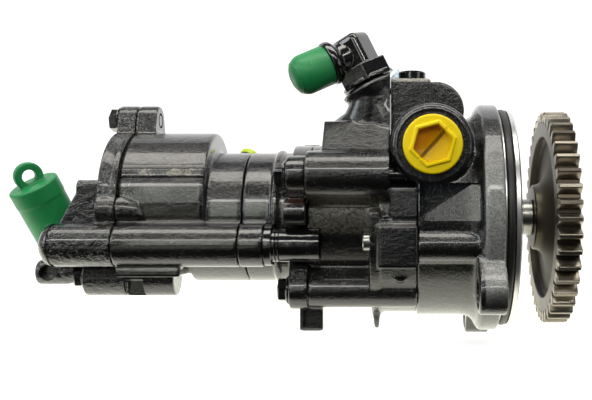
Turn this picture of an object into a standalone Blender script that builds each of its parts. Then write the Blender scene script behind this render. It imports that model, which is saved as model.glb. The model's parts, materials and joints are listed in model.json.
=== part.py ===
"""Tandem power steering pump: a gear-driven vane pump with a second gear pump behind it.

The drive axis is the X axis, with the drive gear at +X. X = 0 is the flange's mounting face.
The side with the plugged pressure port faces -Y, and +Z is up. Lengths are in metres.
"""
import math

import bmesh
import bpy
from mathutils import Matrix, Vector

MM = 0.001
FULL_TURN = 2 * math.pi

# Fits and facets
FIT = 0.3 * MM
OVERRUN = 5.0 * MM
OUTSIDE = 90.0 * MM
CAST_EDGE = 1.5 * MM
FINE = 32
MEDIUM = 16
COARSE = 12
MERGE = 1e-6
SEAM = 4e-6

# Drive gear and what fastens it
GEAR_MODULE = 3.0 * MM
GEAR_TEETH = 43
GEAR_PRESSURE_ANGLE = math.radians(20)
GEAR_BACKLASH = 0.15 * MM
GEAR_LEFT_X = 30.5 * MM
GEAR_WIDTH = 14.0 * MM
GEAR_DEDENDUM = 1.25
GEAR_RIM_WALL = 9.25 * MM
GEAR_RECESS_DEPTH = 5.0 * MM
GEAR_HUB_RADIUS = 21.0 * MM
GEAR_HUB_STAND = 6.0 * MM
GEAR_HUB_FLARE = 8.0 * MM
GEAR_HUB_SHORTFALL = 4.5 * MM
GEAR_HUB_DRAFT = 3.0 * MM
GEAR_WEB_FILLET = 2.0 * MM
GEAR_FLARE_STEP = 1.6 * MM
GEAR_RIM_OVERLAP = 0.6 * MM
WASHER_RADIUS = 15.0 * MM
WASHER_THICKNESS = 2.5 * MM
NUT_ACROSS_FLATS = 22.0 * MM
NUT_HEIGHT = 9.0 * MM
THREAD_STICKOUT = 1.6 * MM
KEY_WIDTH = 5.0 * MM
KEY_HEIGHT = 5.0 * MM
KEY_LENGTH = 11.0 * MM

# Drive shaft
SHAFT_NOSE_RADIUS = 11.5 * MM
SHAFT_SEAT_RADIUS = 10.0 * MM
GEAR_SEAT_RADIUS = 9.0 * MM
THREAD_RADIUS = 7.0 * MM
SHAFT_TAIL_RADIUS = 8.5 * MM
SPLINE_TEETH = 8
SPLINE_DEPTH = 1.2 * MM
SPLINE_SINK = 0.4 * MM
SPLINE_OVERLAP = 0.5 * MM
SHAFT_PLAY = 2.0 * MM
TAIL_PLAY = 1.2 * MM
TAIL_GAP = 2.0 * MM
TANG_THICKNESS = 4.4 * MM
TANG_WIDTH = 12.0 * MM
TANG_LENGTH = 7.0 * MM

# Flange housing
PILOT_RADIUS = 68.5 * MM
PILOT_LENGTH = 9.5 * MM
PILOT_CHAMFER = 1.0 * MM
O_RING_GROOVE_WIDTH = 6.4 * MM
O_RING_GROOVE_DEPTH = 4.0 * MM
O_RING_STAND = 0.6 * MM
FLANGE_RADIUS = 72.0 * MM
FLANGE_THICKNESS = 13.0 * MM
FLANGE_CHAMFER = 2.5 * MM
BARREL_RADIUS = 62.3 * MM
BARREL_FLARE = 5.0 * MM
JOINT_X = -50.0 * MM
EAR_CIRCLE_RADIUS = 80.0 * MM
EAR_RADIUS = 13.0 * MM
EAR_THICKNESS = 16.0 * MM
EAR_HOLE_RADIUS = 5.5 * MM
EAR_ANGLES = (-31.0, -122.0, 150.0)
GALLERY_Z = -15.8 * MM
GALLERY_BOSS_RADIUS = 9.5 * MM
GALLERY_BOSS_Y = -56.5 * MM
GUSSET_Z = (-2.0 * MM, 19.0 * MM)
GUSSET_X = (-44.0 * MM, -15.0 * MM)
GUSSET_Y = (-60.5 * MM, -48.0 * MM)
GUSSET_UNDERCUT = 6.0 * MM
GUSSET_FOOT = 4.0 * MM
GUSSET_SINK = 8.0 * MM

# Pressure port with its plug
PORT_X = -41.4 * MM
PORT_Z = 43.1 * MM
PORT_FACE_Y = -60.0 * MM
PORT_BOSS_RADIUS = 24.4 * MM
PORT_BOSS_BACK_Y = -18.0 * MM
PORT_COUNTERBORE_RADIUS = 20.8 * MM
PORT_COUNTERBORE_DEPTH = 2.6 * MM
PORT_BORE_RADIUS = 13.5 * MM
PORT_BORE_DEPTH = 16.0 * MM
PLUG_HEAD_RADIUS = 17.3 * MM
PLUG_HEAD_THICKNESS = 7.5 * MM
PLUG_THREAD_LENGTH = 11.0 * MM
PLUG_RIDGE_RADIUS = 13.8 * MM
PLUG_RIDGE_WALL = 2.4 * MM
PLUG_RIDGE_HEIGHT = 1.6 * MM
PLUG_RIDGE_SINK = 0.5 * MM
PLUG_SILL = 0.05 * MM
PLUG_RECESS_DEPTH = 5.2 * MM
PLUG_SLOT_WIDTH = 1.8 * MM
PLUG_SLOT_DEPTH = 0.9 * MM
PLUG_TURN = 15.0
PLUG_SLOT_TURN = 48.0

# Flow control valve in its square boss, and the dome behind it
VALVE_X = -52.9 * MM
VALVE_Y = -15.0 * MM
VALVE_BOSS_WIDTH = 23.7 * MM
VALVE_BOSS_TOP_Z = 86.4 * MM
VALVE_BORE_RADIUS = 7.6 * MM
VALVE_SEAT_Z = 54.0 * MM
SPOOL_LENGTH = 13.0 * MM
SPOOL_LAND = 4.0 * MM
SPOOL_WAIST = 1.6 * MM
SPRING_WIRE_RADIUS = 0.7 * MM
SPRING_RADIUS = 5.2 * MM
SPRING_TURNS = 4
VALVE_CAP_RADIUS = 8.8 * MM
VALVE_CAP_HEIGHT = 4.6 * MM
VALVE_CAP_CHAMFER = 0.8 * MM
VALVE_PLUG_REACH = 5.5 * MM
DOME_X = -37.7 * MM
DOME_Z = 68.0 * MM
DOME_RADIUS = 18.0 * MM
DOME_Y = (-12.0 * MM, 30.0 * MM)

# Bearing, seal and circlip
BEARING_OUTER_RADIUS = 23.5 * MM
BEARING_WIDTH = 14.0 * MM
BEARING_RIGHT_X = -3.0 * MM
BALL_COUNT = 8
BALL_RADIUS = 3.8 * MM
RACE_GAP = 5.5 * MM
CAGE_WALL = 2.2 * MM
CAGE_WIDTH = 6.0 * MM
CIRCLIP_THICKNESS = 1.5 * MM
CIRCLIP_DEPTH = 1.5 * MM
CIRCLIP_REACH = 2.4 * MM
CIRCLIP_OPENING_DEGREES = 24.0
SEAL_WIDTH = 7.0 * MM
SEAL_WALL = 3.0 * MM
SEAL_WEB = 2.2 * MM

# Vane pump cartridge
CAVITY_RADIUS = 44.0 * MM
SIDE_PLATE_THICKNESS = 5.0 * MM
CAM_RING_WIDTH = 19.0 * MM
CAM_MINOR_RADIUS = 27.8 * MM
CAM_MAJOR_RADIUS = 31.4 * MM
ROTOR_RADIUS = 27.0 * MM
VANE_COUNT = 10
VANE_THICKNESS = 2.0 * MM
VANE_HEIGHT = 9.0 * MM
VANE_TRAVEL = 1.5 * MM
VANE_SIDE_PLAY = 0.3 * MM
DOWEL_RADIUS = 2.5 * MM
DOWEL_CIRCLE_RADIUS = 38.0 * MM
KIDNEY_RADIUS = 29.0 * MM
KIDNEY_WIDTH = 4.5 * MM
KIDNEY_ANGLES = (45.0, 135.0, 225.0, 315.0)
KIDNEY_SWEEP = 30.0

# Main housing
MAIN_LEFT_X = -115.3 * MM
CORE_RADIUS = 46.0 * MM
SPIGOT_RADIUS = 52.0 * MM
SHELF_X = -66.3 * MM
SHELF_Z = 18.4 * MM
SHELF_BACK_Y = -0.5 * MM
CORE_SHORTFALL = 5.0 * MM
SPIGOT_INSET = 4.0 * MM
REAR_DISC_RADIUS = 60.8 * MM
REAR_DISC_LEFT_X = -76.0 * MM
BOLT_CIRCLE_RADIUS = 55.5 * MM
BOLT_ANGLES = {"near_upper": 27.5, "near_lower": -51.8, "far_upper": 137.0, "far_lower": -137.0}
UPPER_BOSS_RADIUS = 14.5 * MM
LOWER_BOSS_RADIUS = 10.5 * MM
BLOCK_LEFT_X = -106.6 * MM
BLOCK_TOP_Z = 59.1 * MM
BLOCK_FRONT_TOP_Y = -32.0 * MM
BLOCK_FRONT_LOW_Y = -57.0 * MM
BLOCK_LOW_Z = 34.0 * MM
BLOCK_BACK_Y = 34.0 * MM
BLOCK_BACK_SLOPE = 8.0 * MM
BLOCK_TOP_EDGE = 3.0 * MM
BLOCK_FOOT_HALF = 20.0 * MM
SUCTION_BASE = Vector((-79.5 * MM, -20.0 * MM, 83.8 * MM))
SUCTION_LEAN = 26.6
SUCTION_BOSS_RADIUS = 15.5 * MM
SUCTION_LIP = 1.2 * MM
SUCTION_LIP_HEIGHT = 4.0 * MM
SUCTION_LIP_DRAFT = 12.0 * MM
SUCTION_BOSS_LENGTH = 56.0 * MM
SUCTION_BORE_RADIUS = 11.0 * MM
SUCTION_BORE_DEPTH = 16.0 * MM
GALLERY_BLOCK_X = (-72.8 * MM, -50.5 * MM)
GALLERY_BLOCK_HALF = 12.2 * MM
GALLERY_BLOCK_FRONT_Y = -66.0 * MM
GALLERY_BLOCK_BACK_Y = -35.0 * MM
FLANGE_RIB_X = (-65.8 * MM, -50.7 * MM)
FLANGE_RIB_FRONT_Y = -61.0 * MM
FLANGE_RIB_BACK_Y = -30.0 * MM
FLANGE_RIB_TOP_Z = 18.0 * MM
RIB_PLATE_X = (-78.0 * MM, -71.0 * MM)
RIB_PLATE_RADIUS = 62.0 * MM
RIB_TOP_Z = 8.0 * MM
RIB_BACK_Y = 20.0 * MM
RIB_TAB_LOW_Z = -70.5 * MM
RIB_TAB_HALF = 9.0 * MM
RIB_TAB_ROOT_Z = (-40.0 * MM, -30.0 * MM)
RIB_TAB_Y = -10.0 * MM
BOTTOM_TAB_X = (-115.6 * MM, -107.3 * MM)
BOTTOM_TAB_Z = (-69.3 * MM, -42.0 * MM)
BOTTOM_TAB_Y = (-31.0 * MM, -17.0 * MM)
BOTTOM_TAB_EDGE = 2.0 * MM
LINK_RADIUS = 4.0 * MM
LINK_LENGTH = 16.0 * MM
LINK_DROP = 18.0 * MM
PIN_RADIUS = 5.4 * MM
PIN_X = (-82.0 * MM, -60.0 * MM)
PIN_Y = -55.0 * MM
PIN_RISE = 2.3 * MM
BUSH_WALL = 3.0 * MM
BUSH_LENGTH = 18.0 * MM

# Adapter between the pumps, with its bolting plate
ADAPTER_LEFT_X = -155.0 * MM
PLATE_LEFT_X = -127.0 * MM
BARREL_TWO_RADIUS = 41.2 * MM
ADAPTER_COLLAR_X = (-137.5 * MM, -134.0 * MM)
ADAPTER_COLLAR_STAND = 1.8 * MM
PLATE_DISC_RADIUS = 46.0 * MM
PLATE_LUG_RADIUS = 11.5 * MM
COUPLING_BORE_RADIUS = 14.0 * MM
SIDE_LUG_Y = -47.5 * MM
SIDE_LUG_Z = 3.7 * MM
SIDE_LUG_RADIUS = 8.6 * MM
SLEEVE_Y = -45.0 * MM
SLEEVE_RADIUS = 9.9 * MM
SLEEVE_WALL = 2.5 * MM
SLEEVE_LEFT_X = -145.0 * MM
SLEEVE_RIGHT_X = -108.0 * MM
SLEEVE_COLLAR_X = (-140.4 * MM, -135.4 * MM)
SLEEVE_COLLAR_RADIUS = 12.2 * MM
TUBE_RADIUS = 13.0 * MM
TUBE_WEB_DROP = 6.0 * MM
TUBE_WEB_RISE = 10.0 * MM
TUBE_WEB_FRONT = 6.0 * MM
TUBE_WEB_BACK_Y = -20.0 * MM

# Second pump
STEP_X = -177.0 * MM
COVER_SEAM_X = -229.0 * MM
BIG_RADIUS = 45.0 * MM
BIG_Z = 9.0 * MM
STEP_SLOPE = 8.0 * MM
STEP_LAP = 2.0 * MM
SMALL_GEAR_MODULE = 2.5 * MM
SMALL_GEAR_TEETH = 12
SMALL_GEAR_PRESSURE_ANGLE = math.radians(25)
SMALL_GEAR_BACKLASH = 0.32 * MM
SMALL_GEAR_WIDTH = 19.0 * MM
POCKET_RIGHT_X = -190.0 * MM
JOURNAL_RADIUS = 8.0 * MM
BLOCK_LENGTH = 9.0 * MM
COUPLER_RADIUS = 9.5 * MM
COUPLER_LENGTH = 22.0 * MM
EAR_BOLT_Y = 4.0 * MM
EAR_BOLT_Z = 62.5 * MM
COVER_EAR_RADIUS = 9.5 * MM
COVER_EAR_HALF = 14.5 * MM
COVER_EAR_SINK = 8.0 * MM
COVER_EAR_FOOT = 2.0 * MM
BODY_EAR_RIGHT_X = -216.0 * MM
LOWER_BOSS_Y = -20.0 * MM
LOWER_BOSS_Z = -36.5 * MM
LOWER_CASTING_RADIUS = 12.0 * MM
LOWER_CASTING_X = (-254.7 * MM, -198.6 * MM)
FAR_BOLT_Y = 48.0 * MM
FAR_BOLT_Z = -12.0 * MM
FAR_EAR_RADIUS = 10.0 * MM
SEAM_RIDGE_DEGREES = 26.0
SEAM_RIDGE_WIDTH = 4.6 * MM
SEAM_RIDGE_STAND = 0.9 * MM
SEAM_RIDGE_SINK = 2.0 * MM
SEAM_RIDGE_DEPTH = 8.0 * MM
UNDER_RIB_Z = (-34.5 * MM, -29.5 * MM)
UNDER_RIB_X = (-228.0 * MM, -190.0 * MM)
UNDER_RIB_Y = (-50.0 * MM, -20.0 * MM)
LOWER_NOTCH_X = (-238.0 * MM, -217.0 * MM)
LOWER_NOTCH_DEPTH = 9.0 * MM
SMALL_PORT_X = -168.5 * MM
SMALL_PORT_SINK = 8.75 * MM
SMALL_PORT_DEGREES = 123.7
SMALL_PORT_AXIS = Vector((0.33, 0.62, 0.71)).normalized()
SMALL_PORT_BOSS_RADIUS = 7.8 * MM
SMALL_PORT_BOSS_LENGTH = 16.0 * MM
SMALL_PORT_BORE_RADIUS = 5.0 * MM
SMALL_PORT_BORE_DEPTH = 8.0 * MM
SMALL_PLUG_RADIUS = 7.2 * MM
SMALL_PLUG_THICKNESS = 4.0 * MM

# End cover of the second pump
COVER_LEFT_X = -241.0 * MM
TUBE_END_X = -274.0 * MM
TUBE_DOME_LENGTH = 9.0 * MM
TUBE_GROOVE_X = -264.0 * MM
TUBE_GROOVE_WIDTH = 2.0 * MM
TUBE_GROOVE_DEPTH = 1.2 * MM
TUBE_GROOVE_CHAMFER = 0.4 * MM
WEB_Y = -29.0 * MM
WEB_THICKNESS = 9.0 * MM
WEB_LUG_X = (-257.5 * MM, -239.0 * MM)
WEB_LUG_Z = 18.5 * MM
WEB_LUG_RADIUS = 5.0 * MM
WEB_SINK = 4.0 * MM
WEB_CORNER = 4.0 * MM
WEB_FOOT_INSET = 10.0 * MM
WEB_FOOT_RISE = 8.0 * MM
OUTLET_BASE = Vector((-273.0 * MM, -7.0 * MM, -17.6 * MM))
OUTLET_AXIS = Vector((-0.312, -0.407, 0.858)).normalized()
OUTLET_BOSS_RADIUS = 15.5 * MM
OUTLET_BOSS_LENGTH = 18.0 * MM
OUTLET_NOZZLE_SINK = 2.0 * MM
TRUNK_RADIUS = 14.0 * MM
TRUNK_Y = -8.0 * MM
TRUNK_Z = -18.0 * MM
OUTLET_NOZZLE_RADIUS = 12.6 * MM
OUTLET_NOZZLE_LENGTH = 32.0 * MM
OUTLET_BORE_RADIUS = 9.0 * MM
LOWER_LUG_X = (-286.0 * MM, -268.0 * MM)
LOWER_LUG_Y = -18.0 * MM
LOWER_LUG_Z = -34.0 * MM
LOWER_LUG_RADIUS = 7.8 * MM
LOWER_LUG_REACH = 29.0 * MM
LOWER_LUG_LIFT = 5.0 * MM
LUG_RECESS_RADIUS = 5.0 * MM
LUG_RECESS_DEPTH = 6.0 * MM
LUG_RECESS_INSET = 8.0 * MM

# Push-on shipping caps
LEFT_CAP_RADIUS = 15.2 * MM
LEFT_CAP_LENGTH = 45.0 * MM
LEFT_CAP_TOP = 3.0 * MM
LEFT_CAP_CHAMFER = 0.6 * MM
LEFT_CAP_STEP = 0.5 * MM
LEFT_CAP_STEP_FROM = 0.76
LEFT_CAP_STEP_TO = 0.78
EYE_RADIUS = 8.6 * MM
EYE_HOLE_RADIUS = 4.2 * MM
EYE_THICKNESS = 5.0 * MM
EYE_RISE = 5.4 * MM
EYE_TRIM = 10.0 * MM
EYE_FACES = Vector((0.55, -0.83, 0))
UPPER_CAP_RADIUS = 12.5 * MM
UPPER_CAP_LENGTH = 24.0 * MM
UPPER_CAP_WALL = 2.4 * MM
UPPER_CAP_ROUND = 5.0 * MM

# Elbow fitting
ELBOW_HEX_RADIUS = 17.6 * MM
ELBOW_HEX_HEIGHT = 11.0 * MM
ELBOW_BODY_WIDTH = 21.0 * MM
ELBOW_BODY_SINK = 3.0 * MM
ELBOW_BODY_TURN = -28.0
ELBOW_COLLAR_LIFT = 0.2 * MM
ELBOW_COLLAR_THICKNESS = 2.0 * MM
ELBOW_COLLAR_STAND = 1.4 * MM
ELBOW_HEIGHT = 31.5 * MM
ELBOW_EDGE = 4.0 * MM
ELBOW_BRANCH_HEIGHT = 20.8 * MM
ELBOW_NECK_RADIUS = 10.2 * MM
ELBOW_RING_RADIUS = 13.8 * MM
ELBOW_RING_OFFSET = 15.0 * MM
ELBOW_RING_THICKNESS = 4.0 * MM
ELBOW_NIPPLE_RADIUS = 9.6 * MM
ELBOW_NIPPLE_LENGTH = 18.0 * MM
ELBOW_NIPPLE_WALL = 2.2 * MM
ELBOW_BRANCH_YAW = 18.0
ELBOW_STUB_RADIUS = 10.5 * MM
ELBOW_STUB_LENGTH = 12.0 * MM
ELBOW_STUB_WALL = 3.0 * MM

# Bolts
BOLT_RADIUS = 4.0 * MM
BOLT_HEX = 13.0 * MM
BOLT_HEAD_HEIGHT = 5.0 * MM
BOLT_FLANGE_RADIUS = 8.6 * MM
BOLT_FLANGE_THICKNESS = 1.6 * MM
HOUSING_BOLT_REACH = 20.0 * MM
COVER_BOLT_REACH = 10.0 * MM
HEAD_CLEARANCE = 20.0 * MM

AXIS_X = Vector((1, 0, 0))
AXIS_Y = Vector((0, 1, 0))
AXIS_Z = Vector((0, 0, 1))


def clear_scene():
    for obj in list(bpy.data.objects):
        bpy.data.objects.remove(obj)


def new_collection(name):
    collection = bpy.data.collections.new(name)
    bpy.context.scene.collection.children.link(collection)
    return collection


clear_scene()
PUMP = new_collection("power_steering_pump")
TOOLS = new_collection("cutters_and_guides")


def new_material(name, colour, metallic, roughness):
    material = bpy.data.materials.new(name)
    material.use_nodes = True
    shader = material.node_tree.nodes["Principled BSDF"]
    shader.inputs["Base Color"].default_value = (*colour, 1)
    shader.inputs["Metallic"].default_value = metallic
    shader.inputs["Roughness"].default_value = roughness
    material.diffuse_color = (*colour, 1)
    return material


BLACK_PAINT = ((0.02, 0.022, 0.02), 0.0, 0.25)
STEEL = ((0.35, 0.32, 0.28), 1.0, 0.35)
BRIGHT_STEEL = ((0.6, 0.6, 0.6), 1.0, 0.25)
BRONZE = ((0.55, 0.36, 0.14), 1.0, 0.4)
RUBBER = ((0.015, 0.015, 0.015), 0.0, 0.5)
GREEN_PLASTIC = ((0.03, 0.42, 0.15), 0.0, 0.4)
YELLOW_PLASTIC = ((0.95, 0.72, 0.0), 0.0, 0.4)
LIME_PLASTIC = ((0.7, 0.85, 0.02), 0.0, 0.4)


def axis_frame(start, direction):
    """Local Z runs along direction from start."""
    turn = AXIS_Z.rotation_difference(Vector(direction)).to_matrix()
    exact = Matrix([[round(value, 6) for value in row] for row in turn])
    return Matrix.Translation(Vector(start)) @ exact.to_4x4()


def radial_frame(x):
    """Outlines square to the drive axis: local X points at -Y, local Y at +Z, local Z at -X."""
    columns = ((0, 0, -1, x), (-1, 0, 0, 0), (0, 1, 0, 0), (0, 0, 0, 1))
    return Matrix(columns)


def facing_frame(y):
    """Outlines seen from the front: local X is X, local Y is Z, local Z points at -Y."""
    rows = ((1, 0, 0, 0), (0, 0, -1, y), (0, 1, 0, 0), (0, 0, 0, 1))
    return Matrix(rows)


def polar(radius, degrees):
    """Y and Z of a point at an angle that starts at -Y and turns towards +Z."""
    angle = math.radians(degrees)
    return -radius * math.cos(angle), radius * math.sin(angle)


def at_angle(x, radius, degrees):
    y, z = polar(radius, degrees)
    return Vector((x, y, z))


def new_tool(name, mesh, frame):
    obj = bpy.data.objects.new(name, mesh)
    TOOLS.objects.link(obj)
    obj.matrix_world = frame
    obj.hide_render = True
    obj.display_type = "WIRE"
    return obj


def mesh_from(name, bm):
    mesh = bpy.data.meshes.new(name)
    bm.to_mesh(mesh)
    bm.free()
    mesh.shade_smooth()
    mesh.set_sharp_from_angle(angle=math.radians(32))
    return mesh


def rod(start, end, radius, segments=MEDIUM):
    """A cylinder between two points."""
    start, end = Vector(start), Vector(end)
    length = (end - start).length
    bm = bmesh.new()
    bmesh.ops.create_cone(
        bm, cap_ends=True, segments=segments, radius1=radius, radius2=radius, depth=length
    )
    bmesh.ops.translate(bm, verts=bm.verts, vec=(0, 0, length / 2))
    bmesh.ops.transform(bm, verts=bm.verts, matrix=axis_frame(start, (end - start).normalized()))
    return new_tool("rod", mesh_from("rod", bm), Matrix())


def rod_x(x_from, x_to, y, z, radius, segments=MEDIUM):
    """A cylinder along the drive axis, its ends exactly at the two places."""
    low, high = min(x_from, x_to), max(x_from, x_to)
    bm = bmesh.new()
    bmesh.ops.create_cone(bm, cap_ends=True, segments=segments, radius1=radius, radius2=radius, depth=1)
    for vertex in bm.verts:
        across, up, along = vertex.co
        vertex.co = (high if along > 0 else low, y + across, z + up)
    return new_tool("rod", mesh_from("rod", bm), Matrix())


def box(low, high, edge=0.0):
    """A box between two corners, with rounded edges of the given radius."""
    bm = bmesh.new()
    bmesh.ops.create_cube(bm, size=1)
    for vertex in bm.verts:
        vertex.co = [top if value > 0 else bottom for value, bottom, top in zip(vertex.co, low, high)]
    obj = new_tool("box", mesh_from("box", bm), Matrix())
    if edge:
        bevel = obj.modifiers.new("rounded edges", "BEVEL")
        bevel.width = edge
        bevel.segments = 2
        bevel.limit_method = "NONE"
    return obj


def hull(*pieces):
    """The skin stretched over several tools, such as the webs between a casting's bosses."""
    bm = bmesh.new()
    for piece in pieces:
        for vertex in piece.data.vertices:
            bm.verts.new(piece.matrix_basis @ vertex.co)
        bpy.data.objects.remove(piece)
    bmesh.ops.remove_doubles(bm, verts=bm.verts, dist=MERGE)
    bmesh.ops.convex_hull(bm, input=bm.verts)
    loose = [vertex for vertex in bm.verts if not vertex.link_faces]
    bmesh.ops.delete(bm, geom=loose, context="VERTS")
    flat = math.radians(0.01)
    bmesh.ops.dissolve_limit(bm, angle_limit=flat, verts=bm.verts, edges=bm.edges)
    bmesh.ops.recalc_face_normals(bm, faces=bm.faces)
    return new_tool("hull", mesh_from("hull", bm), Matrix())


def turned(profile, frame=None, segments=FINE, closed=True):
    """A profile of (radius, height) points turned round local Z, or round the drive axis."""
    count = len(profile)
    edges = [(i, i + 1) for i in range(count - 1)]
    if closed:
        edges.append((count - 1, 0))
    points = [(radius, 0, height) if frame else (height, radius, 0) for radius, height in profile]
    mesh = bpy.data.meshes.new("profile")
    mesh.from_pydata(points, edges, [])
    obj = new_tool("turned", mesh, frame or Matrix())
    screw = obj.modifiers.new("turn", "SCREW")
    screw.axis = "Z" if frame else "X"
    screw.steps = screw.render_steps = segments
    screw.use_merge_vertices = True
    screw.merge_threshold = MERGE
    screw.use_smooth_shade = True
    return obj


def arc(centre, radius, start, stop, steps):
    """Points on an arc, from start to stop in degrees."""
    points = []
    for i in range(steps + 1):
        angle = math.radians(start + (stop - start) * i / steps)
        points.append((centre[0] + radius * math.cos(angle), centre[1] + radius * math.sin(angle)))
    return points


def extruded(loops, frame, thickness):
    """A flat outline, with any holes as further loops, thickened to both sides of its plane."""
    curve = bpy.data.curves.new("outline", "CURVE")
    curve.dimensions = "2D"
    curve.fill_mode = "BOTH"
    curve.extrude = thickness / 2
    for loop in loops:
        spline = curve.splines.new("POLY")
        spline.points.add(len(loop) - 1)
        for point, (u, v) in zip(spline.points, loop):
            point.co = (u, v, 0, 1)
        spline.use_cyclic_u = True
    flat = bpy.data.objects.new("outline", curve)
    TOOLS.objects.link(flat)
    graph = bpy.context.evaluated_depsgraph_get()
    bm = bmesh.new()
    bm.from_mesh(bpy.data.meshes.new_from_object(flat.evaluated_get(graph)))
    bpy.data.objects.remove(flat)
    bmesh.ops.remove_doubles(bm, verts=bm.verts, dist=MERGE)
    bmesh.ops.transform(bm, verts=bm.verts, matrix=frame)
    bmesh.ops.recalc_face_normals(bm, faces=bm.faces)
    return new_tool("plate", mesh_from("plate", bm), Matrix())


def boolean(body, tool, operation):
    modifier = body.modifiers.new(operation.lower(), "BOOLEAN")
    modifier.operation = operation
    modifier.solver = "EXACT"
    modifier.object = tool


def part(name, look, body, add=(), cut=(), pivot=None):
    """Names a finished piece, joins and cuts it, and hangs it on its joint's empty."""
    for tool in add:
        boolean(body, tool, "UNION")
    for tool in cut:
        boolean(body, tool, "DIFFERENCE")
    if add or cut:
        weld = body.modifiers.new("close seams", "WELD")
        weld.merge_threshold = SEAM
    TOOLS.objects.unlink(body)
    PUMP.objects.link(body)
    body.name = name
    body.data.name = name
    body.hide_render = False
    body.display_type = "TEXTURED"
    body.data.materials.append(new_material(name, *look))
    if pivot:
        frame = body.matrix_basis.copy()
        body.parent = pivot
        body.matrix_parent_inverse = pivot.matrix_basis.inverted()
        body.matrix_basis = frame
    return body


def empty(name, place):
    obj = bpy.data.objects.new(name, None)
    obj.matrix_world = Matrix.Translation(place)
    PUMP.objects.link(obj)
    return obj


def circle(radius, steps, centre=(0, 0)):
    return arc(centre, radius, 0, 360 * (steps - 1) / steps, steps - 1)


def regular(corner_radius, turn=0.0, sides=6):
    step = 360 / sides
    return [
        (corner_radius * math.cos(math.radians(turn + step * i)),
         corner_radius * math.sin(math.radians(turn + step * i)))
        for i in range(sides)
    ]


def corner_radius(across_flats):
    return across_flats / math.sqrt(3)


def gear_outline(module, teeth, pressure_angle, backlash, turn=0.0):
    """One closed loop of involute teeth. Turn places the middle of a tooth, in radians."""
    pitch = module * teeth / 2
    base = pitch * math.cos(pressure_angle)
    tip = pitch + module
    root = pitch - GEAR_DEDENDUM * module
    half_at_pitch = (math.pi * module / 2 - backlash) / (2 * pitch)
    spread_at_pitch = math.tan(pressure_angle) - pressure_angle

    def half_angle(radius):
        angle = math.acos(min(base / radius, 1.0))
        return half_at_pitch + spread_at_pitch - (math.tan(angle) - angle)

    lowest = max(base, root)
    flank = [lowest, pitch, tip]
    points = []
    for tooth in range(teeth):
        middle = turn + FULL_TURN * tooth / teeth
        left = [(radius, middle - half_angle(radius)) for radius in flank]
        right = [(radius, middle + half_angle(radius)) for radius in reversed(flank)]
        foot = half_angle(lowest) * 1.04
        ring = [(root, middle - foot), *left, *right, (root, middle + foot)]
        points += [(r * math.cos(a), r * math.sin(a)) for r, a in ring]
    return points


def spline_outline(outer_radius, depth, play):
    """Square splines. A negative play is for the shaft's own teeth."""
    points = []
    pitch = FULL_TURN / SPLINE_TEETH
    half = pitch / 4 + play / outer_radius
    for tooth in range(SPLINE_TEETH):
        middle = pitch * tooth
        for radius, angle in (
            (outer_radius - depth, middle - half),
            (outer_radius, middle - half),
            (outer_radius, middle + half),
            (outer_radius - depth, middle + half),
        ):
            points.append((radius * math.cos(angle), radius * math.sin(angle)))
    return points


def flange_bolt(name, head_x, y, z, shank_length, direction=1):
    """A hex flange bolt along X, its seat at head_x and its shank towards direction."""
    frame = axis_frame((head_x, y, z), AXIS_X * -direction)
    profile = [
        (0, BOLT_FLANGE_THICKNESS),
        (BOLT_FLANGE_RADIUS - BOLT_FLANGE_THICKNESS / 2, BOLT_FLANGE_THICKNESS),
        (BOLT_FLANGE_RADIUS, 0),
        (BOLT_RADIUS, 0),
        (BOLT_RADIUS, -shank_length),
        (0, -shank_length),
    ]
    body = turned(profile, frame, segments=COARSE, closed=False)
    head_height = BOLT_HEAD_HEIGHT + BOLT_FLANGE_THICKNESS / 2
    head_frame = frame @ Matrix.Translation((0, 0, BOLT_FLANGE_THICKNESS / 2 + head_height / 2))
    head = extruded([regular(corner_radius(BOLT_HEX))], head_frame, head_height)
    return part(name, BLACK_PAINT, body, add=[head])


# Places worked out from the sizes above
cavity_right_x = JOINT_X + 2 * (SIDE_PLATE_THICKNESS + FIT) + CAM_RING_WIDTH + FIT
ring_centre_x = JOINT_X + FIT + SIDE_PLATE_THICKNESS + CAM_RING_WIDTH / 2
rear_plate_x = JOINT_X + SIDE_PLATE_THICKNESS / 2
front_plate_x = ring_centre_x + CAM_RING_WIDTH / 2 + FIT + SIDE_PLATE_THICKNESS / 2
bearing_left_x = BEARING_RIGHT_X - BEARING_WIDTH
bearing_seat_radius = BEARING_OUTER_RADIUS + FIT
bearing_bore_radius = SHAFT_SEAT_RADIUS + FIT
circlip_left_x = BEARING_RIGHT_X + FIT
circlip_right_x = circlip_left_x + CIRCLIP_THICKNESS
gear_right_x = GEAR_LEFT_X + GEAR_WIDTH
gear_recess_radius = GEAR_MODULE * (GEAR_TEETH / 2 - GEAR_DEDENDUM) - GEAR_RIM_WALL
hub_left_x = GEAR_LEFT_X - GEAR_HUB_STAND
hub_right_x = gear_right_x - GEAR_HUB_SHORTFALL
suction_up = Vector((-math.sin(math.radians(SUCTION_LEAN)), 0, math.cos(math.radians(SUCTION_LEAN))))
driven_z = SMALL_GEAR_MODULE * SMALL_GEAR_TEETH
small_gear_tip = driven_z / 2 + SMALL_GEAR_MODULE
pocket_radius = small_gear_tip + FIT
front_block_x = POCKET_RIGHT_X - FIT - BLOCK_LENGTH / 2
small_gear_x = front_block_x - BLOCK_LENGTH / 2 - FIT - SMALL_GEAR_WIDTH / 2
rear_block_x = small_gear_x - SMALL_GEAR_WIDTH / 2 - FIT - BLOCK_LENGTH / 2
small_port_base = at_angle(SMALL_PORT_X, BARREL_TWO_RADIUS - SMALL_PORT_SINK, SMALL_PORT_DEGREES)
pin_z = GALLERY_Z + PIN_RISE
tail_left_x = PLATE_LEFT_X - TAIL_GAP

drive_axis = empty("drive_axis", Vector((0, 0, 0)))
driven_axis = empty("driven_axis", Vector((0, 0, driven_z)))


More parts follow.
